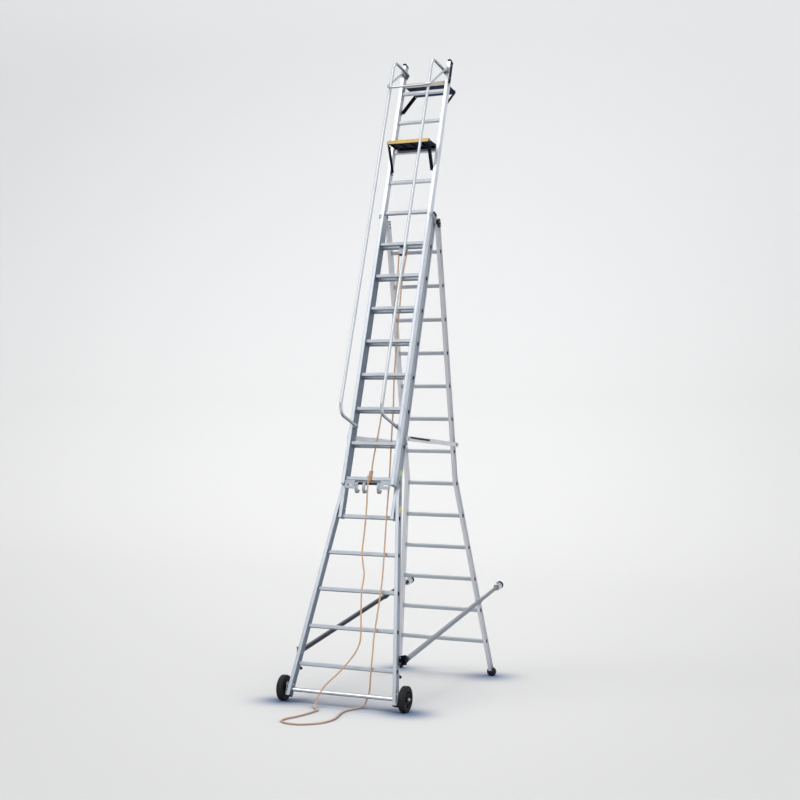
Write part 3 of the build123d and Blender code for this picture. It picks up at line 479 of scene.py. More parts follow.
def part_material(piece_name, material, chosen):
    """A second material on the faces whose centre is chosen."""
    mesh = NODES[piece_name].data
    mesh.materials.append(material)
    slot = len(mesh.materials) - 1
    for face in mesh.polygons:
        if chosen(face.center):
            face.material_index = slot


def stile_materials(piece_name, painted_light_material, front):
    """Paints shade on the left stile's inner wall with a darker copy; behind its front face the
    right stile gets a paler copy, painted light.
    """
    mesh = NODES[piece_name].data
    mesh.materials.append(ALU_SHADED_INNER)
    mesh.materials.append(painted_light_material)
    for face in mesh.polygons:
        x, y, z = face.center
        out = (z - BASE_Z) * BASE_SIN - (y + Y_SHIFT) * BASE_COS
        if x < 0 and face.normal.x > 0.8:
            face.material_index = 1
        elif x > 0 and out < front:
            face.material_index = 2


part_material("fly_end_caps", CAST, lambda centre: centre.z < 3.0)
stile_materials("base_stiles", ALU_LIT_LEG, front=0.0315)
stile_materials("base_legs", ALU_LIT_LEG, front=0.0315)
stile_materials("fly_stiles", ALU_LIT_SIDE, front=0.0965)
for name in ("outrigger_slider_right", "outrigger_slider_left"):
    part_material(name, BEAM, lambda centre: centre.y > 1.625)


# ---------------------------------------------------------------- mesh tools
def add_mesh(name, verts, faces, material, body=None, angle=35):
    mesh = bpy.data.meshes.new(name)
    mesh.from_pydata([tuple(v) for v in verts], [], faces)
    mesh.validate()
    mesh.materials.append(material)
    piece = bpy.data.objects.new(name, mesh)
    bpy.context.scene.collection.objects.link(piece)
    editable = bmesh.new()
    editable.from_mesh(mesh)
    bmesh.ops.recalc_face_normals(editable, faces=editable.faces)
    editable.to_mesh(mesh)
    editable.free()
    smooth_shade(mesh, angle)
    if body:
        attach(piece, body)
    return piece


def circle(radius, count):
    angles = [2 * math.pi * i / count for i in range(count)]
    return [(radius * math.cos(a), radius * math.sin(a)) for a in angles]


def frame_at(origin, z_dir, x_dir=None):
    """Local frame at origin with Z along z_dir."""
    z = Vector(z_dir).normalized()
    if x_dir is None:
        x_dir = (1, 0, 0) if abs(z.x) < 0.9 else (0, 0, 1)
    x = Vector(x_dir)
    x = (x - z * x.dot(z)).normalized()
    frame = Matrix((x, z.cross(x), z)).transposed().to_4x4()
    frame.translation = Vector(origin)
    return frame


# Local XY in the parent's YZ plane, local Z across the ladder
CROSSWISE = frame_at((0, 0, 0), (1, 0, 0), (0, 1, 0))


def carried_normals(path, preferred, limit, fallback):
    """Two normals at each point, carried along the path with little twist. They start
    from the preferred direction unless the path runs closer to it than limit."""
    last = len(path) - 1
    tangent = (path[1] - path[0]).normalized()
    reference = Vector(preferred)
    if abs(tangent.dot(reference)) >= limit:
        reference = Vector(fallback)
    first = tangent.cross(reference).normalized()
    normals = []
    for i in range(len(path)):
        tangent = (path[min(i + 1, last)] - path[max(i - 1, 0)]).normalized()
        first = (first - tangent * first.dot(tangent)).normalized()
        normals.append((first, tangent.cross(first)))
    return normals


class Solids:
    """Collects many small solids into one mesh."""

    def __init__(self):
        self.verts, self.faces = [], []

    def prism(self, outline, frame, low, high, rim=0.0):
        """Runs an XY outline along Z from low to high, with a chamfered rim at high."""
        count = len(outline)
        start = len(self.verts)
        rings = [(low, 0.0), (high - rim, 0.0)]
        if rim:
            rings.append((high, rim))
        mid_x = sum(p[0] for p in outline) / count
        mid_y = sum(p[1] for p in outline) / count
        for height, inset in rings:
            for x, y in outline:
                reach = math.hypot(x - mid_x, y - mid_y) or 1
                shrink = 1 - inset / reach
                self.verts.append(frame @ Vector((
                    mid_x + (x - mid_x) * shrink, mid_y + (y - mid_y) * shrink, height)))
        self.faces.append(tuple(start + i for i in reversed(range(count))))
        for ring in range(len(rings) - 1):
            lower = start + ring * count
            upper = lower + count
            for i in range(count):
                j = (i + 1) % count
                self.faces.append((lower + i, lower + j, upper + j, upper + i))
        top = start + (len(rings) - 1) * count
        self.faces.append(tuple(top + i for i in range(count)))

    def lathe(self, profile, frame, segments=24, closed=True):
        """Turns (radius, height) pairs about local Z."""
        start = len(self.verts)
        count = len(profile)
        for k in range(segments):
            angle = 2 * math.pi * k / segments
            for radius, height in profile:
                self.verts.append(frame @ Vector((
                    radius * math.cos(angle), radius * math.sin(angle), height)))
        for k in range(segments):
            near = start + k * count
            far = start + (k + 1) % segments * count
            for i in range(count - 1):
                self.faces.append((near + i, far + i, far + i + 1, near + i + 1))
            if closed:
                self.faces.append((near + count - 1, far + count - 1, far, near))

    def tube(self, path, radius, segments):
        start = len(self.verts)
        normals = carried_normals(path, preferred=(0, 0, 1), limit=0.9, fallback=(1, 0, 0))
        for centre, (first, second) in zip(path, normals):
            for k in range(segments):
                angle = 2 * math.pi * k / segments
                self.verts.append(
                    centre + (first * math.cos(angle) + second * math.sin(angle)) * radius)
        for i in range(len(path) - 1):
            near = start + i * segments
            far = near + segments
            for k in range(segments):
                j = (k + 1) % segments
                self.faces.append((near + k, near + j, far + j, far + k))
        end = start + (len(path) - 1) * segments
        self.faces.append(tuple(start + k for k in reversed(range(segments))))
        self.faces.append(tuple(end + k for k in range(segments)))

    def screw(self, origin, z_dir, radius, height):
        """Domed pan head with a round socket."""
        self.lathe([(radius * 0.42, height * 0.45), (radius * 0.42, height * 0.98),
                    (radius * 0.72, height), (radius * 0.95, height * 0.62),
                    (radius, height * 0.1), (radius, -0.001), (0.0002, -0.001),
                    (0.0002, height * 0.45)], frame_at(origin, z_dir), 18, closed=False)

    def hexnut(self, origin, z_dir, radius, height):
        """Washer, hexagonal nut and the end of its bolt."""
        frame = frame_at(origin, z_dir)
        self.lathe([(radius * 1.25, -0.0008), (radius * 1.25, 0.0012), (0.0004, 0.0012),
                    (0.0004, -0.0008)], frame, 20)
        self.prism(circle(radius, 6), frame, 0.001, height, rim=0.0012)
        self.prism(circle(radius * 0.5, 12), frame, height - 0.001, height + 0.003,
                   rim=0.0008)

    def make(self, name, material, body=None, angle=35):
        return add_mesh(name, self.verts, self.faces, material, body, angle)


# ---------------------------------------------------------- extrusion details
RIB_PITCH = 0.0044
RUNG_TOP = 0.015        # middle of a rung to its top face
RUNG_FRONT = 0.014      # middle of a rung to its outward face


def rung_ribs(name, section, rungs, middle=0.0):
    """Five fine ribs on the top and the outward face of each rung."""
    solids = Solids()
    for i in rungs:
        along = RUNG_PITCH * i
        half = section.rung_half(along)
        for k in range(-2, 3):
            offset = k * RIB_PITCH
            top = (0, middle + offset, along + RUNG_TOP)
            solids.prism([(-0.0011, -0.0004), (0.0011, -0.0004), (0.0007, 0.0009),
                          (-0.0007, 0.0009)],
                         section.frame @ Matrix.Translation(top) @ CROSSWISE, -half, half)
            front = (0, middle + RUNG_FRONT, along + offset)
            solids.prism([(-0.0004, -0.0011), (0.0008, -0.0007), (0.0008, 0.0007),
                          (-0.0004, 0.0011)],
                         section.frame @ Matrix.Translation(front) @ CROSSWISE, -half, half)
    solids.make(name, ALU_CROSS, section.body, angle=25)


def stile_beads(name, section, material, runs):
    """Pairs of raised beads along the stile flanges.
    runs: (splayed, lower station, upper station, how far out the flange face is)"""
    wide, high = 0.0016, 0.0009
    solids = Solids()
    verts, faces = solids.verts, solids.faces
    for side in BOTH:
        for splayed, start, end, face in runs:
            rise = high if face > 0 else -high
            for inset in (0.0035, 0.0245):
                first = len(verts)
                for along in (start, end):
                    half = section.splayed_half(along) if splayed else section.half
                    for dx, out in ((-wide, -rise * 0.4), (wide, -rise * 0.4),
                                    (wide * 0.5, rise), (-wide * 0.5, rise)):
                        verts.append(section.frame @ Vector((
                            side * (half - inset + dx), face + out, along)))
                for i in range(4):
                    j = (i + 1) % 4
                    faces.append((first + i, first + j, first + 4 + j, first + 4 + i))
                faces.append(tuple(first + i for i in range(4)))
                faces.append(tuple(first + 4 + i for i in reversed(range(4))))
    solids.make(name, material, section.body, angle=25)


rung_ribs("base_rung_ribs", BASE, range(1, 14))
rung_ribs("fly_rung_ribs", FLY, range(6, 19), middle=FLY_OUT)
rung_ribs("rear_rung_ribs", PROP, range(1, 14))
stile_beads("base_stile_beads", BASE, ALU, (
    (False, 1.49, 4.19, STILE_FACE), (False, 1.49, 4.05, -STILE_FACE),
    (True, 0.06, 1.60, STILE_FACE), (True, 0.06, 1.46, -STILE_FACE)))
stile_beads("fly_stile_beads", FLY, ALU_FLY, (
    (False, 1.76, 5.54, 0.0975), (False, 5.64, 5.680, 0.0975)))
stile_beads("rear_stile_beads", PROP, ALU_REAR_LIT, (
    (False, 1.85, 4.03, STILE_FACE), (False, 1.85, 4.03, -STILE_FACE),
    (True, 0.09, 1.83, STILE_FACE), (True, 0.09, 1.83, -STILE_FACE)))


# ----------------------------------------------------------------------- rope
ROPE_FLOOR_Z = 0.0069       # lowest the rope's centre may lie
BRAID_PITCH = 0.052         # length of rope per full turn of a strand


def catmull(points, step):
    """Centripetal Catmull-Rom curve through the points."""
    knots = [points[0] * 2 - points[1]] + points + [points[-1] * 2 - points[-2]]
    curve = []
    for i in range(1, len(knots) - 2):
        before, start, end, after = knots[i - 1:i + 3]
        length = (end - start).length
        count = max(2, int(length / step))
        span_in = max((start - before).length, 1e-5) ** 0.5
        span = max(length, 1e-5) ** 0.5
        span_out = max((after - end).length, 1e-5) ** 0.5
        leave = (end - start + ((start - before) / span_in
                                - (end - before) / (span_in + span)) * span)
        arrive = (end - start + ((after - end) / span_out
                                 - (after - start) / (span + span_out)) * span)
        cubic = (start - end) * 2 + leave + arrive
        square = (start - end) * -3 - leave * 2 - arrive
        for j in range(count):
            t = j / count
            curve.append(cubic * t ** 3 + square * t * t + leave * t + start)
    curve.append(knots[-2])
    return curve


def braid(name, points, body=None, radius=0.0062, phase=0.0, step=0.006):
    """A core with two opposed sets of four strands woven over it."""
    path = [Vector((p.x, p.y, max(p.z, ROPE_FLOOR_Z))) for p in catmull(points, step)]
    normals = carried_normals(path, preferred=(1, 0, 0), limit=0.8, fallback=(0, 1, 0))
    lengths = [0.0]
    for i in range(1, len(path)):
        lengths.append(lengths[-1] + (path[i] - path[i - 1]).length)
    solids = Solids()
    solids.tube(path, radius * 0.72, 8)
    for turn in BOTH:
        for k in range(4):
            strand = []
            for centre, (first, second), length in zip(path, normals, lengths):
                angle = phase + turn * (2 * math.pi * length / BRAID_PITCH) + 2 * math.pi * k / 4
                weave = 0.06 * math.cos(4 * (2 * math.pi * length / BRAID_PITCH)) * turn
                reach = radius * (0.78 + weave)
                strand.append(
                    centre + (first * math.cos(angle) + second * math.sin(angle)) * reach)
            solids.tube(strand, radius * 0.27, 5)
    return solids.make(name, ROPE, body, angle=60)


SHEAVE_RADIUS = 0.038       # of the rope's centre line round the pulley
SHEAVE_ALONG = 3.842

# Stations on the ladder: x, along, out. Stations near the floor: x, y from the foot, z.
LIFT = (
    (-SHEAVE_RADIUS, SHEAVE_ALONG - 0.001, .0325), (-.021, 3.65, .0325),
    (-.006, 3.3, .0325), (.008, 2.9, .0325), (.013, 2.6, .0325), (.0125, 2.35, .0325),
    (.006, 2.15, .0325), (-.003, 1.99, .0325), (-.003, 1.90, .0335), (.002, 1.84, .036),
)
TAIL = (
    (.007, 1.776, .096), (.009, 1.72, .0955), (.018, 1.60, .088), (.024, 1.465, .080),
    (.029, 1.33, .078), (.034, 1.197, .080), (.056, 1.10, .080), (.078, 1.014, .080),
    (.076, .895, .080), (.095, .72, .078), (.118, .56, .078), (.121, .50, .078),
    (.100, .42, .078), (.062, .355, .078), (.020, .296, .078), (-.030, .235, .079),
    (-.076, .186, .081), (-.115, .140, .083), (-.140, .096, .086), (-.158, .050, .092),
)
TAIL_FLOOR = (
    (-.165, -.115, .022), (-.150, -.150, .0085), (-.110, -.200, .0068),
    (-.080, -.254, .0068),
)
HAUL = (
    (.026, 3.65, .028), (.035, 3.35, .0235), (.050, 3.05, .022), (.078, 2.668, .022),
    (.104, 2.432, .022), (.126, 2.163, .022), (.156, 1.833, .025), (.180, 1.50, .031),
    (.203, 1.212, .034), (.218, .985, .036), (.219, .85, .037), (.217, .70, .038),
    (.214, .52, .037), (.219, .42, .032), (.221, .32, .027), (.217, .22, .002),
    (.207, .14, -.034), (.196, .09, -.041),
)
HAUL_FLOOR = (
    (.182, .067, .05), (.172, .058, .02), (.155, .028, .0068), (.128, -.06, .0068),
    (.113, -.16, .0068), (.128, -.29, .0068), (.166, -.43, .0068), (.187, -.57, .0068),
    (.160, -.73, .0068), (.060, -.842, .0068), (-.030, -.845, .0068),
    (-.100, -.795, .0068), (-.123, -.709, .0068), (-.101, -.60, .0068),
    (-.086, -.50, .0068), (-.079, -.38, .0068), (-.080, -.254, .0068),
)
KNOT_EXIT = (
    (.004, 1.846, .052), (.012, 1.836, .083), (.014, 1.815, .0925), (.010, 1.790, .094),
    (.007, 1.773, .0958),
)


def rope_points(ladder, floor=()):
    return [base_point(*p) for p in ladder] + [ground_point(*p) for p in floor]


def long_ropes():
    rope = braid("rope_lift", rope_points(LIFT))
    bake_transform(rope)
    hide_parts("rope_lift_strand")
    rope = braid("rope_tail_strand", rope_points(TAIL, TAIL_FLOOR))
    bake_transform(rope)
    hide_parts("rope_tail")
    over_sheave = [base_point(SHEAVE_RADIUS * math.cos(t),
                              SHEAVE_ALONG + SHEAVE_RADIUS * math.sin(t), .0325)
                   for t in np.linspace(math.pi, 0, 13)]
    rope = braid("rope_hauling", over_sheave + rope_points(HAUL, HAUL_FLOOR), "base")
    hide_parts("hauling_rope")


def rope_knot():
    """Turns round the bottom fly rung and round the standing part."""
    points = []
    for i in range(78):
        turn = i / 24.0
        angle = 2 * math.pi * turn + 0.6
        cos, sin = math.cos(angle), math.sin(angle)
        # the turns follow a box round the rung, with its corners cut off
        reach = 1.0 / max(abs(cos) / 0.0215, abs(sin) / 0.0225,
                          (abs(cos) + abs(sin)) / 0.036)
        points.append(base_point(-0.0075 + 0.0085 * turn, 1.800 + sin * reach,
                                 FLY_OUT + cos * reach))
    turns = braid("rope_rung_turns", points, "fly", radius=0.0058, phase=0.4, step=0.005)
    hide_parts("rope_knot")
    points = []
    for i in range(66):
        turn = i / 22.0
        angle = 2 * math.pi * turn
        points.append(base_point(-0.001 + 0.0115 * math.cos(angle), 1.838 + 0.0125 * turn,
                                 .044 + 0.0115 * math.sin(angle)))
    braid("rope_knot_turns", points, "fly", radius=0.0056, phase=1.1, step=0.005)
    braid("rope_knot_exit", rope_points(KNOT_EXIT), "fly", radius=0.0058, phase=0.2,
          step=0.005)


long_ropes()
rope_knot()

# --------------------------------------------------------------------- wheels
WHEEL_X = 0.513
TREAD_COUNT = 46        # blocks in each row
TREAD_RADIUS = 0.0987   # of the tyre under its blocks
TREAD_TOP = 0.0999      # radius at the top of the blocks
TREAD_SINK = 0.001      # how far the blocks start below the tyre's surface


def tyre_tread(wheel, body):
    solids = Solids()
    half = math.pi * TREAD_RADIUS / TREAD_COUNT * 0.72
    radial = Matrix(((0, 0, 1, TREAD_RADIUS - TREAD_SINK), (0, 1, 0, 0), (-1, 0, 0, 0),
                     (0, 0, 0, 1)))
    # two staggered rows: axial range, offset round the wheel in blocks, skew
    for low, high, offset, skew in ((-0.0155, -0.0030, 0.0, -0.0022),
                                    (0.0030, 0.0155, 0.5, 0.0022)):
        outline = [(-high, -half + skew), (-low, -half - skew), (-low, half - skew),
                   (-high, half + skew)]
        for k in range(TREAD_COUNT):
            turn = Matrix.Rotation(2 * math.pi * (k + offset) / TREAD_COUNT, 4, "Z")
            solids.prism(outline, wheel @ turn @ radial, 0.0,
                         TREAD_TOP - TREAD_RADIUS + TREAD_SINK, rim=0.0006)
    block = 0.0042          # half width of a shoulder block
    for face in (-1, 1):
        for k in range(TREAD_COUNT):
            turn = Matrix.Rotation(2 * math.pi * (k + 0.25) / TREAD_COUNT, 4, "Z")
            shoulder = frame_at((0.0945, 0, face * 0.0205), (0.62, 0, face * 0.78),
                                (0, 1, 0))
            solids.prism([(-block, -block), (block, -block), (block, block),
                          (-block, block)], wheel @ turn @ shoulder, -0.001, 0.0021,
                         rim=0.0006)
        # raised rings on the side wall: radius, distance from the middle of the tyre
        for radius, out in ((0.0885, 0.0247), (0.0800, 0.0242), (0.0735, 0.0222)):
            low, high = face * (out - 0.0016), face * (out + 0.0004)
            solids.lathe([(radius - 0.0013, low), (radius - 0.0006, high),
                          (radius + 0.0006, high), (radius + 0.0013, low)], wheel, 72)
    solids.make("tyre_tread_" + body, TYRE, body, angle=30)


def hub_ribs(wheel, body):
    """Ten spokes, a rim ring and a central boss on each face of the hub."""
    solids = Solids()
    for face in (-1, 1):
        for k in range(10):
            turn = Matrix.Rotation(2 * math.pi * k / 10, 4, "Z")
            spoke = Matrix.Translation((0.041, 0, face * 0.0105))
            solids.prism([(-0.021, -0.0030), (0.022, -0.0018), (0.022, 0.0018),
                          (-0.021, 0.0030)],
                         wheel @ turn @ spoke @ Matrix.Diagonal((1, 1, face, 1)),
                         -0.003, 0.0052, rim=0.0008)
        solids.lathe([(0.0625, face * 0.0175), (0.0625, face * 0.0197),
                      (0.0645, face * 0.0205), (0.0676, face * 0.0197),
                      (0.0676, face * 0.0175)], wheel, 64)
        solids.lathe([(0.0225, face * 0.0120), (0.0225, face * 0.0240),
                      (0.0200, face * 0.0252), (0.0140, face * 0.0252),
                      (0.0140, face * 0.0120)], wheel, 40)
    solids.make("hub_ribs_" + body, HUB, body, angle=30)


def hub_screws(wheel, side, body):
    solids = Solids()
    circle_radius = 0.050
    for k in range(5):
        angle = 2 * math.pi * (k + 0.5) / 5
        place = Vector((circle_radius * math.cos(angle), circle_radius * math.sin(angle),
                        0.0105))
        solids.screw(wheel @ place, (side, 0, 0), radius=0.0042, height=0.003)
    solids.make("hub_screws_" + body, STEEL, body)


def axle_domes():
    solids = Solids()
    for side in BOTH:
        solids.lathe([(0.0115, -0.002), (0.0115, 0.001), (0.0085, 0.0035),
                      (0.003, 0.0045), (0.0002, 0.0045), (0.0002, -0.002)],
                     frame_at((side * 0.546, AXLE_Y, AXLE_Z), (side, 0, 0)), 28)
    solids.make("axle_end_domes", STEEL, "base")


for side, letter in SIDES:
    wheel = frame_at((side * WHEEL_X, AXLE_Y, AXLE_Z), (side, 0, 0), (0, 1, 0))
    tyre_tread(wheel, "wheel_" + letter)
    hub_ribs(wheel, "wheel_" + letter)
    hub_screws(wheel, side, "wheel_" + letter)
axle_domes()

# --------------------------------------------------------------- small fittings
HANDRAIL_LOW, HANDRAIL_HIGH = 2.247, 5.588      # stations of the handrail ends


def base_screws():
    solids = Solids()
    for side in BOTH:
        outward = (side, 0, 0)
        for along, out in ((4.134, -0.006), (4.164, 0.014)):
            solids.screw(base_point(side * 0.2456, along, out), outward,
                         radius=0.005, height=0.003)
        solids.hexnut(base_point(side * 0.2738, 2.169, 0), outward,
                      radius=0.0075, height=0.005)
        # two on the leg below and two on the stile above: along, x from the stile's edge
        for along, dx in ((1.53, 0.012), (1.62, 0.012), (1.71, -0.014), (1.80, -0.014)):
            solids.screw(base_point(side * (BASE.half + dx), along, -0.0368), BASE_REAR,
                         radius=0.0055, height=0.0035)
        for dz in (-0.022, 0.022):
            solids.screw(ground_point(side * 0.4330, 0.112, OUTRIGGER_Z + dz), outward,
                         radius=0.006, height=0.004)
    solids.make("base_screws", STEEL, "base")


def fly_screws():
    solids = Solids()
    for side in BOTH:
        for along in (HANDRAIL_LOW, HANDRAIL_HIGH):
            for out in (-0.014, 0.014):
                for step in (-0.0165, 0.0165):
                    solids.screw(base_point(side * 0.1822, along + step, FLY_OUT + out),
                                 (-side, 0, 0), radius=0.0034, height=0.0026)
        for along in (1.724, 1.772):
            for x in (0.190, 0.130):
                solids.screw(base_point(side * x, along, 0.0892), BASE_FRONT,
                             radius=0.0045, height=0.003)
        for along in (5.566, 5.614):
            solids.screw(base_point(side * 0.2095, along, 0.1006), BASE_FRONT,
                         radius=0.0036, height=0.0026)
        for along in (5.66, 5.53):
            solids.screw(base_point(side * 0.2290, along, FLY_OUT), (side, 0, 0),
                         radius=0.0055, height=0.0035)
    solids.make("fly_screws", STEEL, "fly")


def handrail_ferrules():
    """Sleeves on the handrail ends."""
    solids = Solids()
    start = 0.070
    for side in BOTH:
        for along, end in ((HANDRAIL_LOW, 0.100), (HANDRAIL_HIGH, 0.105)):
            length = end - start
            solids.lathe([(0.0127, 0), (0.0152, 0.001), (0.0152, length - 0.002),
                          (0.0127, length)],
                         frame_at(base_point(side * 0.178, along, start), BASE_FRONT), 30)
    solids.make("handrail_ferrules", CAST, "fly")


def prop_nuts():
    solids = Solids()
    for side in BOTH:
        for along in (4.127, 4.158):
            solids.hexnut(prop_point(side * 0.2540, along, 0), (side, 0, 0),
                          radius=0.0058, height=0.004)
        solids.hexnut(prop_point(side * 0.2735, 2.1656, 0), (side, 0, 0),
                      radius=0.0075, height=0.005)
    solids.make("prop_nuts", STEEL, "rear_prop")


def foot_rings():
    """Raised rings round the ball of each rear foot."""
    ball_radius, half = 0.043, 0.0018
    solids = Solids()
    for side in BOTH:
        frame = Matrix.Translation(ground_point(side * 0.4602, 2.3566, 0.038))
        for z in (-0.022, -0.012, -0.002, 0.008):
            radius = math.sqrt(ball_radius ** 2 - z * z)
            solids.lathe([(radius - 0.0012, z - half), (radius + 0.0013, z - half * 0.6),
                          (radius + 0.0013, z + half * 0.6), (radius - 0.0012, z + half)],
                         frame, 56)
    solids.make("foot_rings", RUBBER, "rear_prop")


def deck_bars():
    """Raised grip bars in a herringbone."""
    solids = Solids()
    for i in range(-8, 9):
        for j in range(11):
            angle = math.radians(45 if (i + j) % 2 else -45)
            place = Matrix.Translation((i * 0.0212, 0.1475 + j * 0.0205, 4.7149))
            solids.prism([(-0.0082, 0), (-0.0055, -0.0019), (0.0055, -0.0019), (0.0082, 0),
                          (0.0055, 0.0019), (-0.0055, 0.0019)],
                         place @ Matrix.Rotation(angle, 4, "Z"), 0, 0.0014, rim=0.0005)
    solids.make("deck_grip_bars", DECK, "platform", angle=25)


def platform_screws():
    solids = Solids()
    for x in np.linspace(-0.165, 0.165, 7):
        solids.screw((x, 0.1295, 4.703), (0, -1, 0), radius=0.0042, height=0.0022)
    for side in BOTH:
        solids.hexnut((side * PLATE_NUT_X, 0.1485, 4.699), (side, 0, 0),
                      radius=0.0055, height=0.0025)
    solids.make("platform_screws", STEEL, "platform")


TRAY_FRONT = 1.3605 - Y_SHIFT


def tray_lip():
    """Pale lip over the front strip."""
    face, skin, back = TRAY_FRONT - 0.0012, TRAY_FRONT + 0.0003, TRAY_FRONT + 0.0055
    bottom, under, top = 5.2975, 5.3325, 5.3345
    solids = Solids()
    solids.prism([(face, bottom), (skin, bottom), (skin, under), (back, under),
                  (back, top), (face, top)], CROSSWISE, -0.1872, 0.1872)
    solids.make("tray_lip_strip", BEIGE, "tray", angle=25)


def tray_dimples():
    """Rings under the tray, left out along three lines that run from front to back."""
    solids = Solids()
    for i in range(-6, 7):
        x = i * 0.0265
        if abs(x) < 0.006 or abs(abs(x) - 0.095) < 0.009:
            continue
        for j in range(5):
            place = Matrix.Translation((x, 1.40 + j * 0.052 - Y_SHIFT, 5.2978))
            solids.lathe([(0.0045, 0), (0.0045, 0.0012), (0.0062, 0.0012), (0.0070, 0)],
                         place @ Matrix.Diagonal((1, 1, -1, 1)), 16)
    solids.make("tray_dimples", TRAY, "tray", angle=25)


def tray_rivets():
    solids = Solids()
    for x in np.linspace(-0.14, 0.14, 5):
        solids.lathe([(0.0036, -0.0008), (0.0036, 0.0006), (0.0026, 0.0016),
                      (0.0002, 0.0018), (0.0002, -0.0008)],
                     frame_at((x, TRAY_FRONT - 0.0015, 5.316), (0, -1, 0)), 14)
    for side in BOTH:
        solids.hexnut((side * PLATE_NUT_X, 0.7585, 5.312), (side, 0, 0),
                      radius=0.0055, height=0.0025)
    solids.make("tray_rivets", STEEL, "tray")


base_screws()
fly_screws()
handrail_ferrules()
prop_nuts()
foot_rings()
deck_bars()
platform_screws()
tray_lip()
tray_dimples()
tray_rivets()


# ------------------------------------------------------- outriggers, stays, stubs
def outrigger(side, letter, clamp_material):
    """Collar and rivets on the boom, rings on the slider's foot. Profile heights are
    distances along the boom, which rises towards +y."""
    rise = math.radians(10.7)
    origin = ground_point(side * 0.452, 0.199, OUTRIGGER_Z)
    direction = Vector((0, math.cos(rise), math.sin(rise)))
    frame = frame_at(origin, direction, (1, 0, 0))

    clamp = Solids()
    clamp.lathe([(0.0202, 1.742), (0.0250, 1.744), (0.0262, 1.750), (0.0262, 1.764),
                 (0.0250, 1.769), (0.0202, 1.769)], frame, 32)
    clamp.make("outrigger_clamp_" + letter, clamp_material, "boom_" + letter, angle=30)

    rivets = Solids()
    for along in (0.06, 1.70):
        rivets.screw(origin + direction * along + Vector((side * 0.0198, 0, 0)),
                     (side, 0, 0), radius=0.005, height=0.003)
    rivets.make("outrigger_rivets_" + letter, STEEL, "boom_" + letter)

    socket = Solids()
    for along in (2.336, 2.380):
        socket.lathe([(0.0228, along - 0.003), (0.0245, along - 0.002),
                      (0.0245, along + 0.002), (0.0228, along + 0.003)], frame, 32)
    socket.lathe([(0.0222, 2.300), (0.0300, 2.304), (0.0318, 2.312), (0.0318, 2.374),
                  (0.0300, 2.382), (0.0222, 2.384)], frame, 36)
    socket.make("outrigger_socket_rings_" + letter, TUBE, "slider_" + letter)

    foot = Solids()
    foot.lathe([(0.0222, 2.386), (0.0335, 2.388), (0.0345, 2.393), (0.0345, 2.407),
                (0.0330, 2.412), (0.0222, 2.414)], frame, 36)
    for along in (2.393, 2.400, 2.407):
        foot.lathe([(0.0335, along - 0.002), (0.0355, along - 0.0012),
                    (0.0355, along + 0.0012), (0.0335, along + 0.002)], frame, 36)
    for radius in (0.006, 0.012, 0.018):
        foot.lathe([(radius - 0.0012, 2.4195), (radius - 0.0012, 2.4212),
                    (radius + 0.0012, 2.4212), (radius + 0.0012, 2.4195)], frame, 32)
    foot.make("outrigger_foot_rings_" + letter, RUBBER, "slider_" + letter)


def stay_rivets(side, letter):
    solids = Solids()
    for y in (1.075, 1.160):
        solids.screw(ground_point(side * 0.2675, y, 2.103), (side, 0, 0),
                     radius=0.006, height=0.0035)
    solids.make("stay_rivets_" + letter, STEEL, "stay_" + letter)


# Side outline of the painted-shade strip on a stay: y from the base's foot, z
STAY_SHADE_STRIP = ((0.600, 2.1195), (0.600, 2.1075), (0.640, 2.1035), (1.030, 2.1015),
              (1.056, 2.1060), (1.056, 2.1195))


def stay_shade_strip(side, letter):
    """Dark strip of painted shade along the outer wall of a stay's front half."""
    mid_y, mid_z = 0.83, 2.1110
    solids = Solids()
    # the outermost of the three layers is drawn in, which chamfers the rim
    for x, inset in ((0.2664, 0.0), (0.2678, 0.0), (0.2684, 0.0012)):
        for y, z in STAY_SHADE_STRIP:
            solids.verts.append(ground_point(x * side, y - math.copysign(inset, y - mid_y),
                                             z - math.copysign(inset, z - mid_z)))
    count = len(STAY_SHADE_STRIP)
    solids.faces.append(tuple(reversed(range(count))))
    solids.faces.append(tuple(2 * count + i for i in range(count)))
    for near in (0, count):
        far = near + count
        for i in range(count):
            j = (i + 1) % count
            solids.faces.append((near + i, near + j, far + j, far + i))
    solids.make("stay_shade_strip_" + letter, RUBBER, "stay_" + letter, angle=30)


def stub_rings():
    """Grip rings round the stub behind each leg."""
    along = 0.272
    x = BASE.splayed_half(along) - 0.012
    solids = Solids()
    for side in BOTH:
        for reach in (0.020, 0.027, 0.034, 0.041, 0.048):
            centre = base_point(side * x, along, -(STILE_FACE + reach))
            solids.lathe([(0.0106, -0.0022), (0.0122, -0.0012), (0.0122, 0.0012),
                          (0.0106, 0.0022)], frame_at(centre, BASE_REAR), 30)
    solids.make("stub_grip_rings", PLASTIC, "base", angle=30)


outrigger(1, "r", BOOM_RIGHT)
outrigger(-1, "l", BOOM_LEFT_SHADED)
for side, letter in SIDES:
    stay_rivets(side, letter)
for side, letter in SIDES:
    stay_shade_strip(side, letter)
stub_rings()

# ---------------------------------------------------------------------- floor
# Soft shading under the wheels and rear feet, which moves with its owner:
# owner, centre x, centre y, radius in x, radius in y, strength
SPOTS = (
    ("base_stiles", 0.56, -0.86, 0.40, 0.46, 0.95),
    ("base_stiles", -0.53, -0.86, 0.40, 0.46, 0.80),
    ("rear_feet", 0.46, 1.42, 0.50, 0.62, 0.85),
    ("rear_feet", -0.46, 1.42, 0.46, 0.62, 0.60),
)


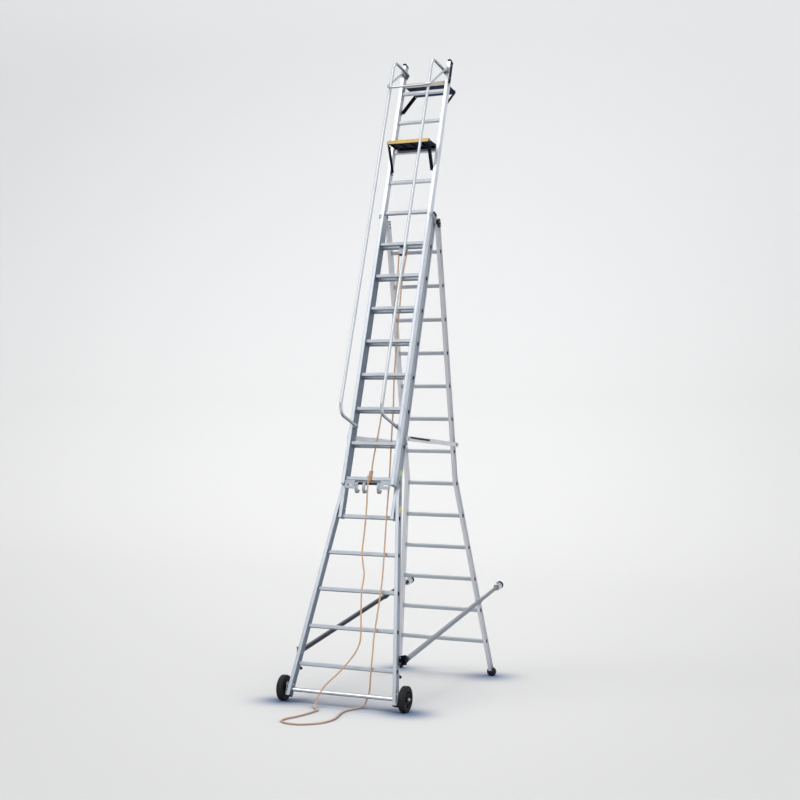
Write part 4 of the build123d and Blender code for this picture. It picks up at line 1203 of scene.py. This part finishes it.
def studio_floor():
    surf = Surface("studio_floor")
    mottle = surf.noise(scale=3.0, detail=3.0)
    window = surf.add("TexCoord").outputs["Window"]
    # painted shade: darker away from the middle of the view
    distance = surf.add("VectorMath", {0: window, 1: (0.5, 0.52, 0.0)},
                        operation="DISTANCE").outputs["Value"]
    falloff = surf.smooth(distance, start=0.10, end=0.72)
    colour = surf.mix(surf.remap(mottle, low=0.3, high=0.7),
                      (0.735, 0.732, 0.728), (0.745, 0.742, 0.738))
    colour = surf.mix(falloff, colour, over=(0.620, 0.618, 0.615))
    # soft, cool contact shading where something stands close to the floor
    openness = surf.add("AmbientOcclusion", {"Distance": 0.7}, samples=16).outputs["AO"]
    near = surf.maths("SUBTRACT", 1.0, surf.smooth(openness, start=0.62, end=1.0))
    colour = surf.mix(near, colour, over=(0.13, 0.18, 0.29), amount=0.9)
    for owner, x, y, radius_x, radius_y, strength in SPOTS:
        place = surf.add("TexCoord", object=NODES[owner]).outputs["Object"]
        local = surf.add("Mapping", {
            "Location": (x, y, 0), "Scale": (radius_x, radius_y, 0.12), "Vector": place,
        }, vector_type="TEXTURE").outputs[0]
        reach = surf.add("VectorMath", {0: local}, operation="LENGTH").outputs["Value"]
        spot = surf.maths("SUBTRACT", 1.0, surf.smooth(reach, start=0.0, end=1.0))
        spot = surf.maths("MULTIPLY", spot, spot)
        colour = surf.mix(spot, colour, over=(0.17, 0.23, 0.35), amount=strength)
    # painted light: the wall behind glows for camera rays only, brighter with height in the view
    height = surf.axis(window, "Y")
    upper = surf.add("MapRange", {"From Min": 0.5, "From Max": 1.0, "Value": height})
    seen = surf.add("LightPath").outputs["Is Camera Ray"]
    painted_glow = surf.maths("MULTIPLY", upper.outputs[0], seen)
    surf.set({"Base Color": colour, "Roughness": 0.8, "Specular IOR Level": 0.1,
              "Emission Color": (1, 1, 1, 1),
              "Emission Strength": surf.maths("MULTIPLY", painted_glow, 0.28)})
    return surf.material


def studio_sweep():
    """Floor that curves up into a wall behind the ladder."""
    half_width, bend_start, bend_radius = 60.0, 16, 20
    profile = [(y, 0.0) for y in (-40.0, -20, -12, -6, 0, 6, 12, bend_start)]
    for i in range(1, 25):
        angle = math.pi / 2 * i / 24
        profile.append((bend_start + bend_radius * math.sin(angle),
                        bend_radius * (1 - math.cos(angle))))
    wall = bend_start + bend_radius
    profile += [(wall, 30.0), (wall, 50.0)]
    verts = [Vector((x, y, z - 0.0003)) for y, z in profile
             for x in (-half_width, half_width)]
    faces = [(2 * i, 2 * i + 1, 2 * i + 3, 2 * i + 2) for i in range(len(profile) - 1)]
    return add_mesh("studio_sweep", verts, faces, studio_floor(), angle=80)


studio_sweep()


# ------------------------------------------------------------ world and lights
def studio_world():
    world = bpy.data.worlds.new("studio")
    bpy.context.scene.world = world
    world.use_nodes = True
    tree = world.node_tree
    # light from all round, dim below and bright above
    direction = add_node(tree, "TexCoord").outputs["Generated"]
    height = add_node(tree, "SeparateXYZ", {0: direction}).outputs["Z"]
    level = add_node(tree, "MapRange", {"From Min": -0.15, "From Max": 0.8,
                                        "Value": height}).outputs[0]
    sky = colour_ramp(tree, level, [(0.0, (0.10, 0.125, 0.18)), (0.45, (0.27, 0.31, 0.38)),
                                    (1.0, (0.98, 0.99, 1.0))])
    light = tree.nodes["Background"]
    feed(tree, light, {"Color": sky, "Strength": 0.72})
    # seen directly, the surroundings are the same pale grey as the sweep
    backdrop = add_node(tree, "Background", {"Color": (0.85, 0.855, 0.86, 1),
                                             "Strength": 1.0})
    seen = add_node(tree, "LightPath").outputs["Is Camera Ray"]
    choice = add_node(tree, "MixShader", {0: seen, 1: light.outputs[0],
                                          2: backdrop.outputs[0]})
    feed(tree, tree.nodes["World Output"], {"Surface": choice.outputs[0]})


def sun(name, source, power, angle, color):
    """A sun that shines from source towards the origin."""
    light = bpy.data.lights.new(name, "SUN")
    light.energy = power
    light.angle = math.radians(angle)
    light.color = color
    lamp = bpy.data.objects.new(name, light)
    bpy.context.scene.collection.objects.link(lamp)
    lamp.location = source
    lamp.rotation_euler = (-Vector(source)).to_track_quat("-Z", "Y").to_euler()


studio_world()
sun("key", source=(-5.0, -7.5, 7.0), power=0.95, angle=40, color=(1.0, 0.99, 0.97))
sun("overhead", source=(0.5, -0.8, 8.0), power=1.20, angle=30, color=(1.0, 0.99, 0.97))
sun("fill", source=(7.5, -3.5, 2.6), power=0.75, angle=60, color=(0.95, 0.97, 1.0))


# -------------------------------------------------------------------- camera
def add_camera(place, yaw, pitch, roll, lens):
    """yaw turns from +y towards -x, pitch looks up, angles in radians."""
    forward = Vector((-math.sin(yaw) * math.cos(pitch), math.cos(yaw) * math.cos(pitch),
                      math.sin(pitch)))
    level_right = Vector((math.cos(yaw), math.sin(yaw), 0))
    level_up = level_right.cross(forward)
    right = level_right * math.cos(roll) + level_up * math.sin(roll)
    upward = -level_right * math.sin(roll) + level_up * math.cos(roll)
    data = bpy.data.cameras.new("cam")
    data.lens = lens
    data.sensor_width = 36.0
    data.clip_end = 200
    camera = bpy.data.objects.new("cam", data)
    bpy.context.scene.collection.objects.link(camera)
    matrix = Matrix((right, upward, -forward)).transposed().to_4x4()
    matrix.translation = place
    camera.matrix_world = matrix
    bpy.context.scene.camera = camera


add_camera(ground_point(4.0849252, -9.1040379, 1.6599128), yaw=0.3838238407818793,
           pitch=0.07232752094363885, roll=0.03303929794507604, lens=57.5253)
bpy.context.scene.view_settings.view_transform = "Standard"
bpy.context.scene.view_settings.exposure = 0.0
